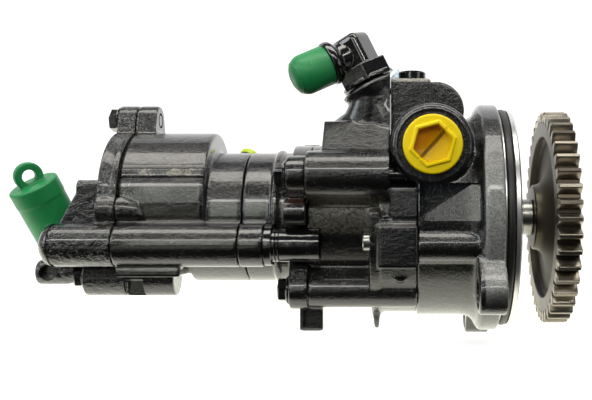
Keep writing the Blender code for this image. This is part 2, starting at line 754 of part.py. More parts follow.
def build_flange_housing():
    groove_floor = PILOT_RADIUS - O_RING_GROOVE_DEPTH
    flange_left = -FLANGE_THICKNESS
    flare = arc((BARREL_RADIUS + BARREL_FLARE, flange_left - BARREL_FLARE), BARREL_FLARE, 90, 180, 3)
    circlip_floor = bearing_seat_radius + CIRCLIP_DEPTH
    profile = [
        (bearing_seat_radius, PILOT_LENGTH),
        (PILOT_RADIUS - PILOT_CHAMFER, PILOT_LENGTH),
        (PILOT_RADIUS, PILOT_LENGTH - PILOT_CHAMFER),
        (PILOT_RADIUS, O_RING_GROOVE_WIDTH),
        (groove_floor, O_RING_GROOVE_WIDTH),
        (groove_floor, 0),
        (FLANGE_RADIUS, 0),
        (FLANGE_RADIUS, flange_left + FLANGE_CHAMFER),
        (FLANGE_RADIUS - FLANGE_CHAMFER, flange_left),
        *flare,
        (BARREL_RADIUS, JOINT_X),
        (SHAFT_SEAT_RADIUS + SHAFT_PLAY, JOINT_X),
        (SHAFT_SEAT_RADIUS + SHAFT_PLAY, bearing_left_x - FIT),
        (bearing_seat_radius, bearing_left_x - FIT),
        (bearing_seat_radius, circlip_left_x - FIT),
        (circlip_floor, circlip_left_x - FIT),
        (circlip_floor, circlip_right_x + FIT),
        (bearing_seat_radius, circlip_right_x + FIT),
    ]
    body = turned(profile)
    add = []
    cut = []
    for degrees in EAR_ANGLES:
        inner = at_angle(0, FLANGE_RADIUS - EAR_RADIUS * 1.6, degrees)
        outer = at_angle(0, EAR_CIRCLE_RADIUS, degrees)
        back = Vector((-EAR_THICKNESS, 0, 0))
        add.append(hull(rod(inner + back, inner, EAR_RADIUS * 1.3), rod(outer + back, outer, EAR_RADIUS)))
        cut.append(rod(outer + back * 2, outer - back, EAR_HOLE_RADIUS, segments=COARSE))
    for degrees in BOLT_ANGLES.values():
        y, z = polar(BOLT_CIRCLE_RADIUS, degrees)
        tapped_to = JOINT_X + HOUSING_BOLT_REACH + FIT * 3
        cut.append(rod_x(SHELF_X - OVERRUN, tapped_to, y, z, BOLT_RADIUS + FIT, COARSE))
    add.append(rod_x(JOINT_X, flange_left, GALLERY_BOSS_Y, GALLERY_Z, GALLERY_BOSS_RADIUS))
    low, high = GUSSET_Z
    left, right = GUSSET_X
    near, far = GUSSET_Y
    gusset = hull(
        box((left, near + GUSSET_UNDERCUT, low - GUSSET_FOOT),
            (right, far + GUSSET_SINK, low - GUSSET_FOOT + MM)),
        box((left, near, low - MM), (right, far, low)),
        box((right - MM, far, high - MM), (right, far + GUSSET_SINK, high)),
    )
    add.append(gusset)
    port_front = Vector((PORT_X, PORT_FACE_Y, PORT_Z))
    add.append(rod(port_front, (PORT_X, PORT_BOSS_BACK_Y, PORT_Z), PORT_BOSS_RADIUS, segments=FINE))
    add.append(rod((DOME_X, DOME_Y[0], DOME_Z), (DOME_X, DOME_Y[1], DOME_Z), DOME_RADIUS))
    half = VALVE_BOSS_WIDTH / 2
    add.append(
        box((VALVE_X - half, VALVE_Y - half, CAVITY_RADIUS),
            (VALVE_X + half, VALVE_Y + half, VALVE_BOSS_TOP_Z), CAST_EDGE)
    )
    spigot_clearance = rod_x(JOINT_X, SHELF_X - OVERRUN, 0, 0, SPIGOT_RADIUS + FIT, FINE)
    bore_floor = Vector((PORT_X, PORT_FACE_Y + PORT_BORE_DEPTH, PORT_Z))
    out = -AXIS_Y * OVERRUN
    cut += [
        spigot_clearance,
        rod_x(JOINT_X - OVERRUN, cavity_right_x, 0, 0, CAVITY_RADIUS, FINE),
        rod(port_front + out, bore_floor, PORT_BORE_RADIUS, segments=MEDIUM),
        rod(port_front + out, port_front + Vector((0, PORT_COUNTERBORE_DEPTH, 0)), PORT_COUNTERBORE_RADIUS,
            segments=FINE),
        rod((VALVE_X, VALVE_Y, VALVE_SEAT_Z), (VALVE_X, VALVE_Y, VALVE_BOSS_TOP_Z + OVERRUN),
            VALVE_BORE_RADIUS),
    ]
    return part("flange_housing", BLACK_PAINT, body, add, cut)


def build_pilot_o_ring():
    floor = PILOT_RADIUS - O_RING_GROOVE_DEPTH + FIT
    width = O_RING_GROOVE_WIDTH - 2 * FIT
    height = O_RING_GROOVE_DEPTH - FIT + O_RING_STAND
    middle = O_RING_GROOVE_WIDTH / 2
    profile = []
    for i in range(6):
        angle = math.radians(120 - 60 * i)
        radius = floor + height / 2 + height / 2 * math.cos(angle)
        profile.append((radius, middle + width / 2 * math.sin(angle)))
    return part("pilot_o_ring", RUBBER, turned(profile))


def build_shaft():
    thread_end = hub_right_x + FIT + WASHER_THICKNESS + FIT + NUT_HEIGHT + THREAD_STICKOUT
    spline_right = ring_centre_x + CAM_RING_WIDTH / 2
    spline_left = ring_centre_x - CAM_RING_WIDTH / 2
    tail_end = tail_left_x
    core = SHAFT_SEAT_RADIUS - SPLINE_DEPTH
    profile = [
        (0, thread_end),
        (THREAD_RADIUS - MM, thread_end),
        (THREAD_RADIUS, thread_end - MM),
        (THREAD_RADIUS, hub_right_x - MM),
        (GEAR_SEAT_RADIUS, hub_right_x - MM),
        (GEAR_SEAT_RADIUS, hub_left_x - FIT),
        (SHAFT_NOSE_RADIUS, hub_left_x - FIT),
        (SHAFT_NOSE_RADIUS, BEARING_RIGHT_X + FIT),
        (SHAFT_SEAT_RADIUS, BEARING_RIGHT_X + FIT),
        (SHAFT_SEAT_RADIUS, spline_right),
        (core, spline_right),
        (core, spline_left),
        (SHAFT_TAIL_RADIUS, spline_left),
        (SHAFT_TAIL_RADIUS, tail_end),
        (0, tail_end),
    ]
    body = turned(profile, segments=MEDIUM, closed=False)
    middle = (spline_right + spline_left + SPLINE_OVERLAP) / 2
    play = FIT / 2
    splines = extruded(
        [spline_outline(SHAFT_SEAT_RADIUS, SPLINE_DEPTH + SPLINE_SINK, -play)],
        radial_frame(middle), CAM_RING_WIDTH + SPLINE_OVERLAP,
    )
    half_width = TANG_WIDTH / 2
    half_thick = TANG_THICKNESS / 2
    tang = box((tail_end - TANG_LENGTH, -half_width, -half_thick), (tail_end + MM, half_width, half_thick))
    key_seat = box(*key_box(FIT))
    return part("drive_shaft", BRIGHT_STEEL, body, [splines, tang], [key_seat], drive_axis)


def key_box(play):
    """The key's corners, grown by the play that its seats have."""
    middle = (hub_left_x + hub_right_x) / 2
    half = KEY_LENGTH / 2 + play
    side = KEY_WIDTH / 2 + play
    low = GEAR_SEAT_RADIUS - KEY_HEIGHT / 2 - play
    return (middle - half, -side, low), (middle + half, side, low + KEY_HEIGHT + 2 * play)


def build_drive_gear():
    middle = GEAR_LEFT_X + GEAR_WIDTH / 2
    outline = gear_outline(GEAR_MODULE, GEAR_TEETH, GEAR_PRESSURE_ANGLE, GEAR_BACKLASH)
    rim_bore = circle(gear_recess_radius, FINE + 3)
    body = extruded([outline, rim_bore], radial_frame(middle), GEAR_WIDTH)
    flare_radius = GEAR_HUB_RADIUS + GEAR_HUB_FLARE * 0.7
    floor_left = GEAR_LEFT_X + GEAR_RECESS_DEPTH
    floor_right = gear_right_x - GEAR_RECESS_DEPTH
    bore = GEAR_SEAT_RADIUS + FIT
    inside_rim = gear_recess_radius + GEAR_RIM_OVERLAP
    web = turned([
        (bore, hub_right_x),
        (GEAR_HUB_RADIUS, hub_right_x),
        (GEAR_HUB_RADIUS + GEAR_HUB_DRAFT, floor_right),
        (gear_recess_radius - GEAR_WEB_FILLET, floor_right),
        (inside_rim, floor_right + GEAR_WEB_FILLET),
        (inside_rim, floor_left - GEAR_WEB_FILLET),
        (gear_recess_radius - GEAR_WEB_FILLET, floor_left),
        (flare_radius + GEAR_WEB_FILLET, floor_left),
        (flare_radius - GEAR_WEB_FILLET, floor_left - GEAR_FLARE_STEP),
        (GEAR_HUB_RADIUS, GEAR_LEFT_X - MM),
        (GEAR_HUB_RADIUS, hub_left_x + MM),
        (GEAR_HUB_RADIUS - MM, hub_left_x),
        (bore, hub_left_x),
    ])
    low, high = key_box(FIT)
    keyway = box((hub_left_x - MM, low[1], low[2]), (hub_right_x + MM, high[1], high[2]))
    return part("drive_gear", STEEL, body, [web], [keyway], drive_axis)


def build_gear_fasteners():
    part("gear_key", STEEL, box(*key_box(0)), pivot=drive_axis)
    inner = THREAD_RADIUS + FIT
    left = hub_right_x + FIT
    right = left + WASHER_THICKNESS
    washer = turned([(inner, right), (WASHER_RADIUS, right), (WASHER_RADIUS, left), (inner, left)],
                    segments=MEDIUM)
    part("gear_washer", STEEL, washer, pivot=drive_axis)
    nut_left = right + FIT
    hexagon = regular(corner_radius(NUT_ACROSS_FLATS))
    bore = circle(inner, COARSE)
    nut = extruded([hexagon, bore], radial_frame(nut_left + NUT_HEIGHT / 2), NUT_HEIGHT)
    part("gear_nut", STEEL, nut, pivot=drive_axis)


def build_bearing():
    middle = (BEARING_RIGHT_X + bearing_left_x) / 2
    pitch = (BEARING_OUTER_RADIUS + bearing_bore_radius) / 2
    track = BALL_RADIUS + FIT
    half_gap = RACE_GAP / 2
    reach = math.degrees(math.acos(half_gap / track))
    inner_edge = pitch - half_gap
    outer_edge = pitch + half_gap
    outer = [
        (outer_edge, BEARING_RIGHT_X),
        (BEARING_OUTER_RADIUS, BEARING_RIGHT_X),
        (BEARING_OUTER_RADIUS, bearing_left_x),
        (outer_edge, bearing_left_x),
        *arc((pitch, middle), track, -reach, reach, 5),
    ]
    inner = [
        (bearing_bore_radius, BEARING_RIGHT_X),
        (inner_edge, BEARING_RIGHT_X),
        *arc((pitch, middle), track, 180 - reach, 180 + reach, 5),
        (inner_edge, bearing_left_x),
        (bearing_bore_radius, bearing_left_x),
    ]
    part("bearing_outer_race", BRIGHT_STEEL, turned(outer))
    part("bearing_inner_race", BRIGHT_STEEL, turned(inner), pivot=drive_axis)
    cage_in = pitch - CAGE_WALL / 2
    cage_out = pitch + CAGE_WALL / 2
    right = middle + CAGE_WIDTH / 2
    left = middle - CAGE_WIDTH / 2
    cage = turned([(cage_in, right), (cage_out, right), (cage_out, left), (cage_in, left)],
                  segments=MEDIUM)
    balls = []
    for number in range(BALL_COUNT):
        bm = bmesh.new()
        bmesh.ops.create_uvsphere(bm, u_segments=8, v_segments=5, radius=BALL_RADIUS)
        place = at_angle(middle, pitch, 360 * number / BALL_COUNT)
        balls.append(new_tool("ball", mesh_from("ball", bm), axis_frame(place, AXIS_X)))
    part("bearing_ball_cage", BRONZE, cage, balls, pivot=drive_axis)


def build_seal_and_circlip():
    left = circlip_right_x + 2 * FIT
    right = left + SEAL_WIDTH
    outer = BEARING_OUTER_RADIUS
    lip = SHAFT_NOSE_RADIUS + FIT
    profile = [
        (lip, right),
        (outer, right),
        (outer, left),
        (outer - SEAL_WALL, left),
        (outer - SEAL_WALL, right - SEAL_WEB),
        (lip + SEAL_WALL, right - SEAL_WEB),
        (lip + SEAL_WALL, left + SEAL_WEB),
        (lip, left + SEAL_WEB),
    ]
    part("shaft_seal", RUBBER, turned(profile, segments=MEDIUM))
    snap_out = bearing_seat_radius + CIRCLIP_DEPTH - FIT
    snap_in = BEARING_OUTER_RADIUS - CIRCLIP_REACH
    gap = CIRCLIP_OPENING_DEGREES / 2
    loop = arc((0, 0), snap_out, gap, 360 - gap, FINE) + arc((0, 0), snap_in, 360 - gap, gap, FINE)
    clip = extruded([loop], radial_frame((circlip_left_x + circlip_right_x) / 2), CIRCLIP_THICKNESS)
    part("bearing_circlip", BRIGHT_STEEL, clip)


def cam_radius(degrees):
    """The cam ring's bore: two long arcs out and two in, joined by smooth ramps."""
    swing = 0.5 - 0.5 * math.cos(math.radians(2 * degrees))
    eased = swing * swing * (3 - 2 * swing)
    return CAM_MINOR_RADIUS + (CAM_MAJOR_RADIUS - CAM_MINOR_RADIUS) * eased


def build_cartridge():
    outer = CAVITY_RADIUS - FIT
    steps = 2 * MEDIUM
    cam = []
    for i in range(steps):
        degrees = 360 * i / steps
        cam.append((cam_radius(degrees) * math.cos(math.radians(degrees)),
                    cam_radius(degrees) * math.sin(math.radians(degrees))))
    dowel_places = [(0, DOWEL_CIRCLE_RADIUS), (0, -DOWEL_CIRCLE_RADIUS)]
    holes = [circle(DOWEL_RADIUS + FIT, COARSE, place) for place in dowel_places]
    rim = circle(outer, FINE)
    ring = extruded([rim, cam, *holes], radial_frame(ring_centre_x), CAM_RING_WIDTH)
    part("cam_ring", STEEL, ring)
    kidneys = []
    for middle in KIDNEY_ANGLES:
        start, stop = middle - KIDNEY_SWEEP / 2, middle + KIDNEY_SWEEP / 2
        half = KIDNEY_WIDTH / 2
        kidneys.append(arc((0, 0), KIDNEY_RADIUS + half, start, stop, 5)
                       + arc((0, 0), KIDNEY_RADIUS - half, stop, start, 5))
    shaft_hole = circle(SHAFT_SEAT_RADIUS + SHAFT_PLAY, MEDIUM)
    for name, x in (("front_side_plate", front_plate_x), ("rear_side_plate", rear_plate_x)):
        plate = extruded([rim, shaft_hole, *kidneys, *holes], radial_frame(x), SIDE_PLATE_THICKNESS)
        part(name, BRONZE, plate)
    dowel_left = rear_plate_x - SIDE_PLATE_THICKNESS / 2
    dowel_right = front_plate_x + SIDE_PLATE_THICKNESS / 2 - FIT
    for name, side in (("upper_dowel", 1), ("lower_dowel", -1)):
        pin = rod_x(dowel_left, dowel_right, 0, side * DOWEL_CIRCLE_RADIUS, DOWEL_RADIUS, COARSE)
        part(name, BRIGHT_STEEL, pin)


def vane_tip_radius():
    return CAM_MINOR_RADIUS - FIT


def build_rotor_and_vanes():
    width = CAM_RING_WIDTH - 2 * FIT
    slot_half = VANE_THICKNESS / 2 + VANE_SIDE_PLAY
    slot_floor = vane_tip_radius() - VANE_HEIGHT - VANE_TRAVEL - FIT
    edge_angle = math.asin(slot_half / ROTOR_RADIUS)
    outline = []
    for number in range(VANE_COUNT):
        middle = FULL_TURN * number / VANE_COUNT
        start = middle + edge_angle
        stop = middle + FULL_TURN / VANE_COUNT - edge_angle
        across = Vector((-math.sin(middle), math.cos(middle))) * slot_half
        inward = Vector((math.cos(middle), math.sin(middle))) * slot_floor
        outline += [tuple(inward - across), tuple(inward + across)]
        for i in range(4):
            angle = start + (stop - start) * i / 3
            outline.append((ROTOR_RADIUS * math.cos(angle), ROTOR_RADIUS * math.sin(angle)))
    splines = spline_outline(SHAFT_SEAT_RADIUS + FIT, SPLINE_DEPTH, FIT / 2)
    rotor = extruded([outline, splines], radial_frame(ring_centre_x), width)
    part("rotor", STEEL, rotor, pivot=drive_axis)
    half = VANE_THICKNESS / 2
    tip = VANE_HEIGHT / 2
    outline = [(-tip, -half), (tip - half * 0.6, -half), *arc((tip - half, 0), half, -50, 50, 4),
               (tip - half * 0.6, half), (-tip, half)]
    middle_radius = vane_tip_radius() - VANE_HEIGHT / 2
    for number in range(VANE_COUNT):
        degrees = 360 * number / VANE_COUNT
        turn = Matrix.Rotation(math.radians(degrees), 4, "Z")
        frame = radial_frame(ring_centre_x) @ turn @ Matrix.Translation((middle_radius, 0, 0))
        part(f"vane_{number + 1:02d}", BRIGHT_STEEL, extruded([outline], frame, width), pivot=drive_axis)


def build_main_housing():
    add = []
    cut = []
    left = MAIN_LEFT_X
    body = rod_x(left, SHELF_X - CORE_SHORTFALL, 0, 0, CORE_RADIUS, FINE)
    add.append(rod_x(REAR_DISC_LEFT_X + SPIGOT_INSET, JOINT_X - FIT, 0, 0, SPIGOT_RADIUS, FINE))
    bolts = {name: polar(BOLT_CIRCLE_RADIUS, degrees) for name, degrees in BOLT_ANGLES.items()}
    lower_disc = rod_x(REAR_DISC_LEFT_X, JOINT_X - FIT, 0, 0, REAR_DISC_RADIUS, FINE)
    boolean(lower_disc, box((-OUTSIDE, -OUTSIDE, 0), (0, OUTSIDE, OUTSIDE)), "DIFFERENCE")
    add.append(lower_disc)
    for name, (y, z) in bolts.items():
        radius = UPPER_BOSS_RADIUS if name == "near_upper" else LOWER_BOSS_RADIUS
        stop = SHELF_X if name == "near_upper" else JOINT_X - FIT
        start = left + (0 if name != "near_lower" else MM)
        add.append(hull(rod_x(start, stop, y, z, radius), rod_x(start, stop, y / 2, z / 2, radius)))
        cut.append(rod_x(left - MM, JOINT_X + MM, y, z, BOLT_RADIUS + FIT, COARSE))
    block = hull(
        box((BLOCK_LEFT_X, BLOCK_FRONT_TOP_Y, BLOCK_TOP_Z - BLOCK_TOP_EDGE),
            (SHELF_X, BLOCK_BACK_Y - BLOCK_BACK_SLOPE, BLOCK_TOP_Z)),
        box((BLOCK_LEFT_X, BLOCK_FRONT_LOW_Y, BLOCK_LOW_Z - MM), (SHELF_X, BLOCK_BACK_Y, BLOCK_LOW_Z)),
        box((BLOCK_LEFT_X, -BLOCK_FOOT_HALF, 0), (SHELF_X, BLOCK_FOOT_HALF, MM)),
    )
    add.append(block)
    base = SUCTION_BASE - suction_up * FIT
    lip = SUCTION_BOSS_RADIUS + SUCTION_LIP
    add.append(turned([
        (0, 0),
        (SUCTION_BOSS_RADIUS - MM, 0),
        (lip, -SUCTION_LIP_HEIGHT / 2),
        (lip, -SUCTION_LIP_HEIGHT),
        (SUCTION_BOSS_RADIUS, -SUCTION_LIP_DRAFT),
        (SUCTION_BOSS_RADIUS, -SUCTION_BOSS_LENGTH),
        (0, -SUCTION_BOSS_LENGTH),
    ], axis_frame(base, suction_up), MEDIUM, closed=False))
    cut.append(rod(base + suction_up * OVERRUN, base - suction_up * SUCTION_BORE_DEPTH, SUCTION_BORE_RADIUS))
    half = GALLERY_BLOCK_HALF
    add.append(box((GALLERY_BLOCK_X[0], GALLERY_BLOCK_FRONT_Y, GALLERY_Z - half),
                   (GALLERY_BLOCK_X[1], GALLERY_BLOCK_BACK_Y, GALLERY_Z + half), CAST_EDGE))
    add.append(box((FLANGE_RIB_X[0], FLANGE_RIB_FRONT_Y, GALLERY_Z),
                   (FLANGE_RIB_X[1], FLANGE_RIB_BACK_Y, FLANGE_RIB_TOP_Z), MM))
    rib = rod_x(RIB_PLATE_X[0], RIB_PLATE_X[1], 0, 0, RIB_PLATE_RADIUS, FINE)
    boolean(rib, box((-OUTSIDE, -OUTSIDE, RIB_TOP_Z), (0, OUTSIDE, OUTSIDE)), "DIFFERENCE")
    boolean(rib, box((-OUTSIDE, RIB_BACK_Y, -OUTSIDE), (0, OUTSIDE, OUTSIDE)), "DIFFERENCE")
    add.append(rib)
    tab_low = RIB_TAB_LOW_Z + RIB_TAB_HALF
    add.append(hull(
        rod_x(RIB_PLATE_X[0], RIB_PLATE_X[1], RIB_TAB_Y, tab_low, RIB_TAB_HALF),
        box((RIB_PLATE_X[0], RIB_TAB_Y - RIB_TAB_HALF, RIB_TAB_ROOT_Z[0]),
            (RIB_PLATE_X[1], RIB_TAB_Y + RIB_TAB_HALF, RIB_TAB_ROOT_Z[1])),
    ))
    tab = box((BOTTOM_TAB_X[0], BOTTOM_TAB_Y[0], BOTTOM_TAB_Z[0]),
              (BOTTOM_TAB_X[1], BOTTOM_TAB_Y[1], BOTTOM_TAB_Z[1]), BOTTOM_TAB_EDGE)
    add.append(tab)
    link_y = bolts["near_lower"][0]
    link_z = GALLERY_Z - LINK_DROP
    link_end = Vector((PIN_X[1], link_y, link_z))
    add.append(rod(link_end - AXIS_Y * LINK_LENGTH, link_end, LINK_RADIUS, segments=COARSE))
    bush_outer = SHAFT_TAIL_RADIUS + FIT + BUSH_WALL + FIT
    cut += [
        rod_x(left - MM, JOINT_X + MM, 0, 0, SHAFT_TAIL_RADIUS + TAIL_PLAY),
        rod_x(JOINT_X - FIT - BUSH_LENGTH - FIT, JOINT_X + MM, 0, 0, bush_outer),
        rod_x(left - MM, SLEEVE_RIGHT_X + FIT, SLEEVE_Y, GALLERY_Z, SLEEVE_RADIUS + FIT),
        box((SHELF_X, -OUTSIDE, SHELF_Z), (0, SHELF_BACK_Y, OUTSIDE)),
        rod_x(PIN_X[0] - MM, PIN_X[1], PIN_Y, pin_z, PIN_RADIUS + FIT, COARSE),
    ]
    return part("main_housing", BLACK_PAINT, body, add, cut)


def build_bush_and_pin():
    right = JOINT_X - 2 * FIT
    left = right - BUSH_LENGTH + FIT
    inner = SHAFT_TAIL_RADIUS + FIT
    outer = inner + BUSH_WALL
    bush = turned([(inner, right), (outer, right), (outer, left), (inner, left)], segments=MEDIUM)
    part("shaft_bush", BRONZE, bush)
    pin = rod_x(PIN_X[0], PIN_X[1] - FIT, PIN_Y, pin_z, PIN_RADIUS, COARSE)
    part("gallery_pin", BRIGHT_STEEL, pin)


def build_valve():
    frame = axis_frame((VALVE_X, VALVE_Y, VALVE_SEAT_Z + FIT), AXIS_Z)
    radius = VALVE_BORE_RADIUS - FIT
    waist = radius - SPOOL_WAIST
    profile = [
        (0, SPOOL_LENGTH),
        (radius, SPOOL_LENGTH),
        (radius, SPOOL_LENGTH - SPOOL_LAND),
        (waist, SPOOL_LENGTH - SPOOL_LAND - MM),
        (waist, SPOOL_LAND + MM),
        (radius, SPOOL_LAND),
        (radius, 0),
        (0, 0),
    ]
    part("flow_valve_spool", BRIGHT_STEEL, turned(profile, frame, COARSE, closed=False))
    bottom = VALVE_SEAT_Z + FIT + SPOOL_LENGTH + FIT
    top = VALVE_BOSS_TOP_Z - VALVE_PLUG_REACH - FIT
    curve = bpy.data.curves.new("coil", "CURVE")
    curve.dimensions = "3D"
    curve.bevel_depth = SPRING_WIRE_RADIUS
    curve.bevel_resolution = 1
    curve.use_fill_caps = True
    points = 10 * SPRING_TURNS
    spline = curve.splines.new("POLY")
    spline.points.add(points)
    low = bottom + SPRING_WIRE_RADIUS
    rise = top - bottom - 2 * SPRING_WIRE_RADIUS
    for i, point in enumerate(spline.points):
        angle = FULL_TURN * SPRING_TURNS * i / points
        point.co = (SPRING_RADIUS * math.cos(angle), SPRING_RADIUS * math.sin(angle), rise * i / points, 1)
    coil = bpy.data.objects.new("coil", curve)
    TOOLS.objects.link(coil)
    graph = bpy.context.evaluated_depsgraph_get()
    bm = bmesh.new()
    bm.from_mesh(bpy.data.meshes.new_from_object(coil.evaluated_get(graph)))
    bpy.data.objects.remove(coil)
    bmesh.ops.remove_doubles(bm, verts=bm.verts, dist=MERGE)
    wire = new_tool("spring", mesh_from("spring", bm), Matrix.Translation((VALVE_X, VALVE_Y, low)))
    part("flow_valve_spring", BRIGHT_STEEL, wire)
    seat = VALVE_BOSS_TOP_Z + FIT
    cap = turned([
        (0, seat + VALVE_CAP_HEIGHT),
        (VALVE_CAP_RADIUS - VALVE_CAP_CHAMFER, seat + VALVE_CAP_HEIGHT),
        (VALVE_CAP_RADIUS, seat + VALVE_CAP_HEIGHT - VALVE_CAP_CHAMFER),
        (VALVE_CAP_RADIUS, seat),
        (radius, seat),
        (radius, top + FIT),
        (0, top + FIT),
    ], axis_frame((VALVE_X, VALVE_Y, 0), AXIS_Z), MEDIUM, closed=False)
    part("flow_valve_plug", BLACK_PAINT, cap)


def build_pressure_plug():
    seat_y = PORT_FACE_Y + PORT_COUNTERBORE_DEPTH - FIT
    frame = axis_frame((PORT_X, seat_y, PORT_Z), -AXIS_Y)
    thread = PORT_BORE_RADIUS - FIT
    face = PLUG_HEAD_THICKNESS
    body = turned([
        (0, face),
        (PLUG_HEAD_RADIUS - MM, face),
        (PLUG_HEAD_RADIUS, face - MM),
        (PLUG_HEAD_RADIUS, 0),
        (thread, 0),
        (thread, -PLUG_THREAD_LENGTH),
        (0, -PLUG_THREAD_LENGTH),
    ], frame, FINE, closed=False)
    front = Matrix.Translation((PORT_X, seat_y, PORT_Z)) @ facing_frame(0)
    rise = face + (PLUG_RIDGE_HEIGHT - PLUG_RIDGE_SINK) / 2
    ridge = extruded([regular(PLUG_RIDGE_RADIUS, PLUG_TURN)], front @ Matrix.Translation((0, 0, rise)),
                     PLUG_RIDGE_HEIGHT + PLUG_RIDGE_SINK)
    inner = PLUG_RIDGE_RADIUS - PLUG_RIDGE_WALL
    top = face + PLUG_RIDGE_HEIGHT + MM
    floor = face + PLUG_RIDGE_HEIGHT - PLUG_RECESS_DEPTH
    socket = extruded([regular(inner, PLUG_TURN)], front @ Matrix.Translation((0, 0, (top + floor) / 2)),
                      top - floor)
    reach = inner * 0.8
    ends = PLUG_RIDGE_RADIUS + MM
    bottom = floor - PLUG_SLOT_DEPTH
    sill = face + PLUG_SILL
    section = [(-reach, bottom), (reach, bottom), (reach, sill), (ends, sill), (ends, top), (-ends, top),
               (-ends, sill), (-reach, sill)]
    stand_up = Matrix.Rotation(math.radians(90), 4, "X")
    slot_turn = Matrix.Rotation(math.radians(PLUG_SLOT_TURN), 4, "Z")
    slot = extruded([section], front @ slot_turn @ stand_up, PLUG_SLOT_WIDTH)
    part("pressure_port_plug", YELLOW_PLASTIC, body, [ridge], [socket, slot])


def build_elbow():
    up = suction_up
    base = SUCTION_BASE
    yaw = math.radians(ELBOW_BRANCH_YAW)
    level = Vector((-math.cos(math.radians(SUCTION_LEAN)), 0, -math.sin(math.radians(SUCTION_LEAN))))
    branch = (level * math.cos(yaw) - AXIS_Y * math.sin(yaw)).normalized()
    frame = Matrix((
        (-level.x, 0, up.x, base.x),
        (-level.y, 1, up.y, base.y),
        (-level.z, 0, up.z, base.z),
        (0, 0, 0, 1),
    ))
    hex_frame = frame @ Matrix.Translation((0, 0, ELBOW_HEX_HEIGHT / 2))
    hexagon = extruded([regular(ELBOW_HEX_RADIUS, 30)], hex_frame, ELBOW_HEX_HEIGHT)
    half = ELBOW_BODY_WIDTH / 2
    tower = box((-half, -half, ELBOW_HEX_HEIGHT - ELBOW_BODY_SINK), (half, half, ELBOW_HEIGHT), ELBOW_EDGE)
    tower.matrix_world = frame @ Matrix.Rotation(math.radians(ELBOW_BODY_TURN), 4, "Z") @ tower.matrix_basis
    tee = base + up * ELBOW_BRANCH_HEIGHT
    ring_start = tee + branch * ELBOW_RING_OFFSET
    ring_end = ring_start + branch * ELBOW_RING_THICKNESS
    nipple_end = ring_end + branch * ELBOW_NIPPLE_LENGTH
    stub = rod(base - up * ELBOW_STUB_LENGTH, base + up * MM, ELBOW_STUB_RADIUS)
    collar_foot = base + up * ELBOW_COLLAR_LIFT
    collar = rod(collar_foot, collar_foot + up * ELBOW_COLLAR_THICKNESS,
                 SUCTION_BOSS_RADIUS + ELBOW_COLLAR_STAND, segments=FINE)
    add = [
        tower,
        collar,
        rod(tee, ring_start + branch * MM, ELBOW_NECK_RADIUS),
        rod(ring_start, ring_end, ELBOW_RING_RADIUS),
        rod(ring_end - branch * MM, nipple_end, ELBOW_NIPPLE_RADIUS),
        stub,
    ]
    bore_out = nipple_end + branch * MM
    cut = [
        rod(tee, bore_out, ELBOW_NIPPLE_RADIUS - ELBOW_NIPPLE_WALL, segments=COARSE),
        rod(base - up * (ELBOW_STUB_LENGTH + MM), tee, ELBOW_STUB_RADIUS - ELBOW_STUB_WALL, segments=COARSE),
    ]
    part("elbow_fitting", BLACK_PAINT, hexagon, add, cut)
    inner = ELBOW_NIPPLE_RADIUS + FIT
    mouth = ring_end + branch * FIT
    round_middle = (UPPER_CAP_RADIUS - UPPER_CAP_ROUND, UPPER_CAP_LENGTH - UPPER_CAP_ROUND)
    round_steps = arc(round_middle, UPPER_CAP_ROUND, 90, 0, 4)
    well = UPPER_CAP_LENGTH - UPPER_CAP_WALL
    cap = turned([
        (0, UPPER_CAP_LENGTH),
        *round_steps,
        (UPPER_CAP_RADIUS, 0),
        (inner, 0),
        (inner, well),
        (0, well),
    ], axis_frame(mouth, branch), MEDIUM, closed=False)
    part("upper_port_cap", GREEN_PLASTIC, cap)


def plate_lugs(x_from, x_to, radius):
    """The bolting plate's lugs, each webbed to the middle of the casting."""
    lugs = []
    for degrees in BOLT_ANGLES.values():
        y, z = polar(BOLT_CIRCLE_RADIUS, degrees)
        root = rod_x(x_from, x_to, y * 0.45, z * 0.45, radius * 1.5)
        lugs.append(hull(rod_x(x_from, x_to, y, z, radius), root))
    return lugs


def tube_web(x_from, x_to):
    """The block of casting that joins the side tube to a barrel."""
    low, high = GALLERY_Z - TUBE_WEB_DROP, GALLERY_Z + TUBE_WEB_RISE
    return box((x_from, SLEEVE_Y, low), (x_to, TUBE_WEB_BACK_Y, high))


def build_adapter():
    right = MAIN_LEFT_X - FIT
    body = rod_x(ADAPTER_LEFT_X, right, 0, 0, BARREL_TWO_RADIUS, FINE)
    collar_left, collar_right = ADAPTER_COLLAR_X
    add = [
        rod_x(collar_left, collar_right, 0, 0, BARREL_TWO_RADIUS + ADAPTER_COLLAR_STAND, FINE),
        rod_x(PLATE_LEFT_X, right, 0, 0, PLATE_DISC_RADIUS, FINE),
        *plate_lugs(PLATE_LEFT_X, right, PLATE_LUG_RADIUS),
        rod_x(PLATE_LEFT_X - MM, right, SIDE_LUG_Y, SIDE_LUG_Z, SIDE_LUG_RADIUS),
        rod_x(ADAPTER_LEFT_X, SLEEVE_COLLAR_X[0] - FIT, SLEEVE_Y, GALLERY_Z, TUBE_RADIUS),
        tube_web(ADAPTER_LEFT_X, SLEEVE_COLLAR_X[0] - FIT),
    ]
    cut = [
        rod_x(ADAPTER_LEFT_X - MM, right + MM, 0, 0, COUPLING_BORE_RADIUS),
        rod_x(SLEEVE_COLLAR_X[0] - FIT, right + MM, SLEEVE_Y, GALLERY_Z, SLEEVE_COLLAR_RADIUS + FIT),
        rod_x(SLEEVE_LEFT_X - FIT, right + MM, SLEEVE_Y, GALLERY_Z, SLEEVE_RADIUS + FIT),
    ]
    for degrees in BOLT_ANGLES.values():
        y, z = polar(BOLT_CIRCLE_RADIUS, degrees)
        cut.append(rod_x(PLATE_LEFT_X - OVERRUN, right + MM, y, z, BOLT_RADIUS + FIT, COARSE))
    return part("adapter_housing", BLACK_PAINT, body, add, cut)


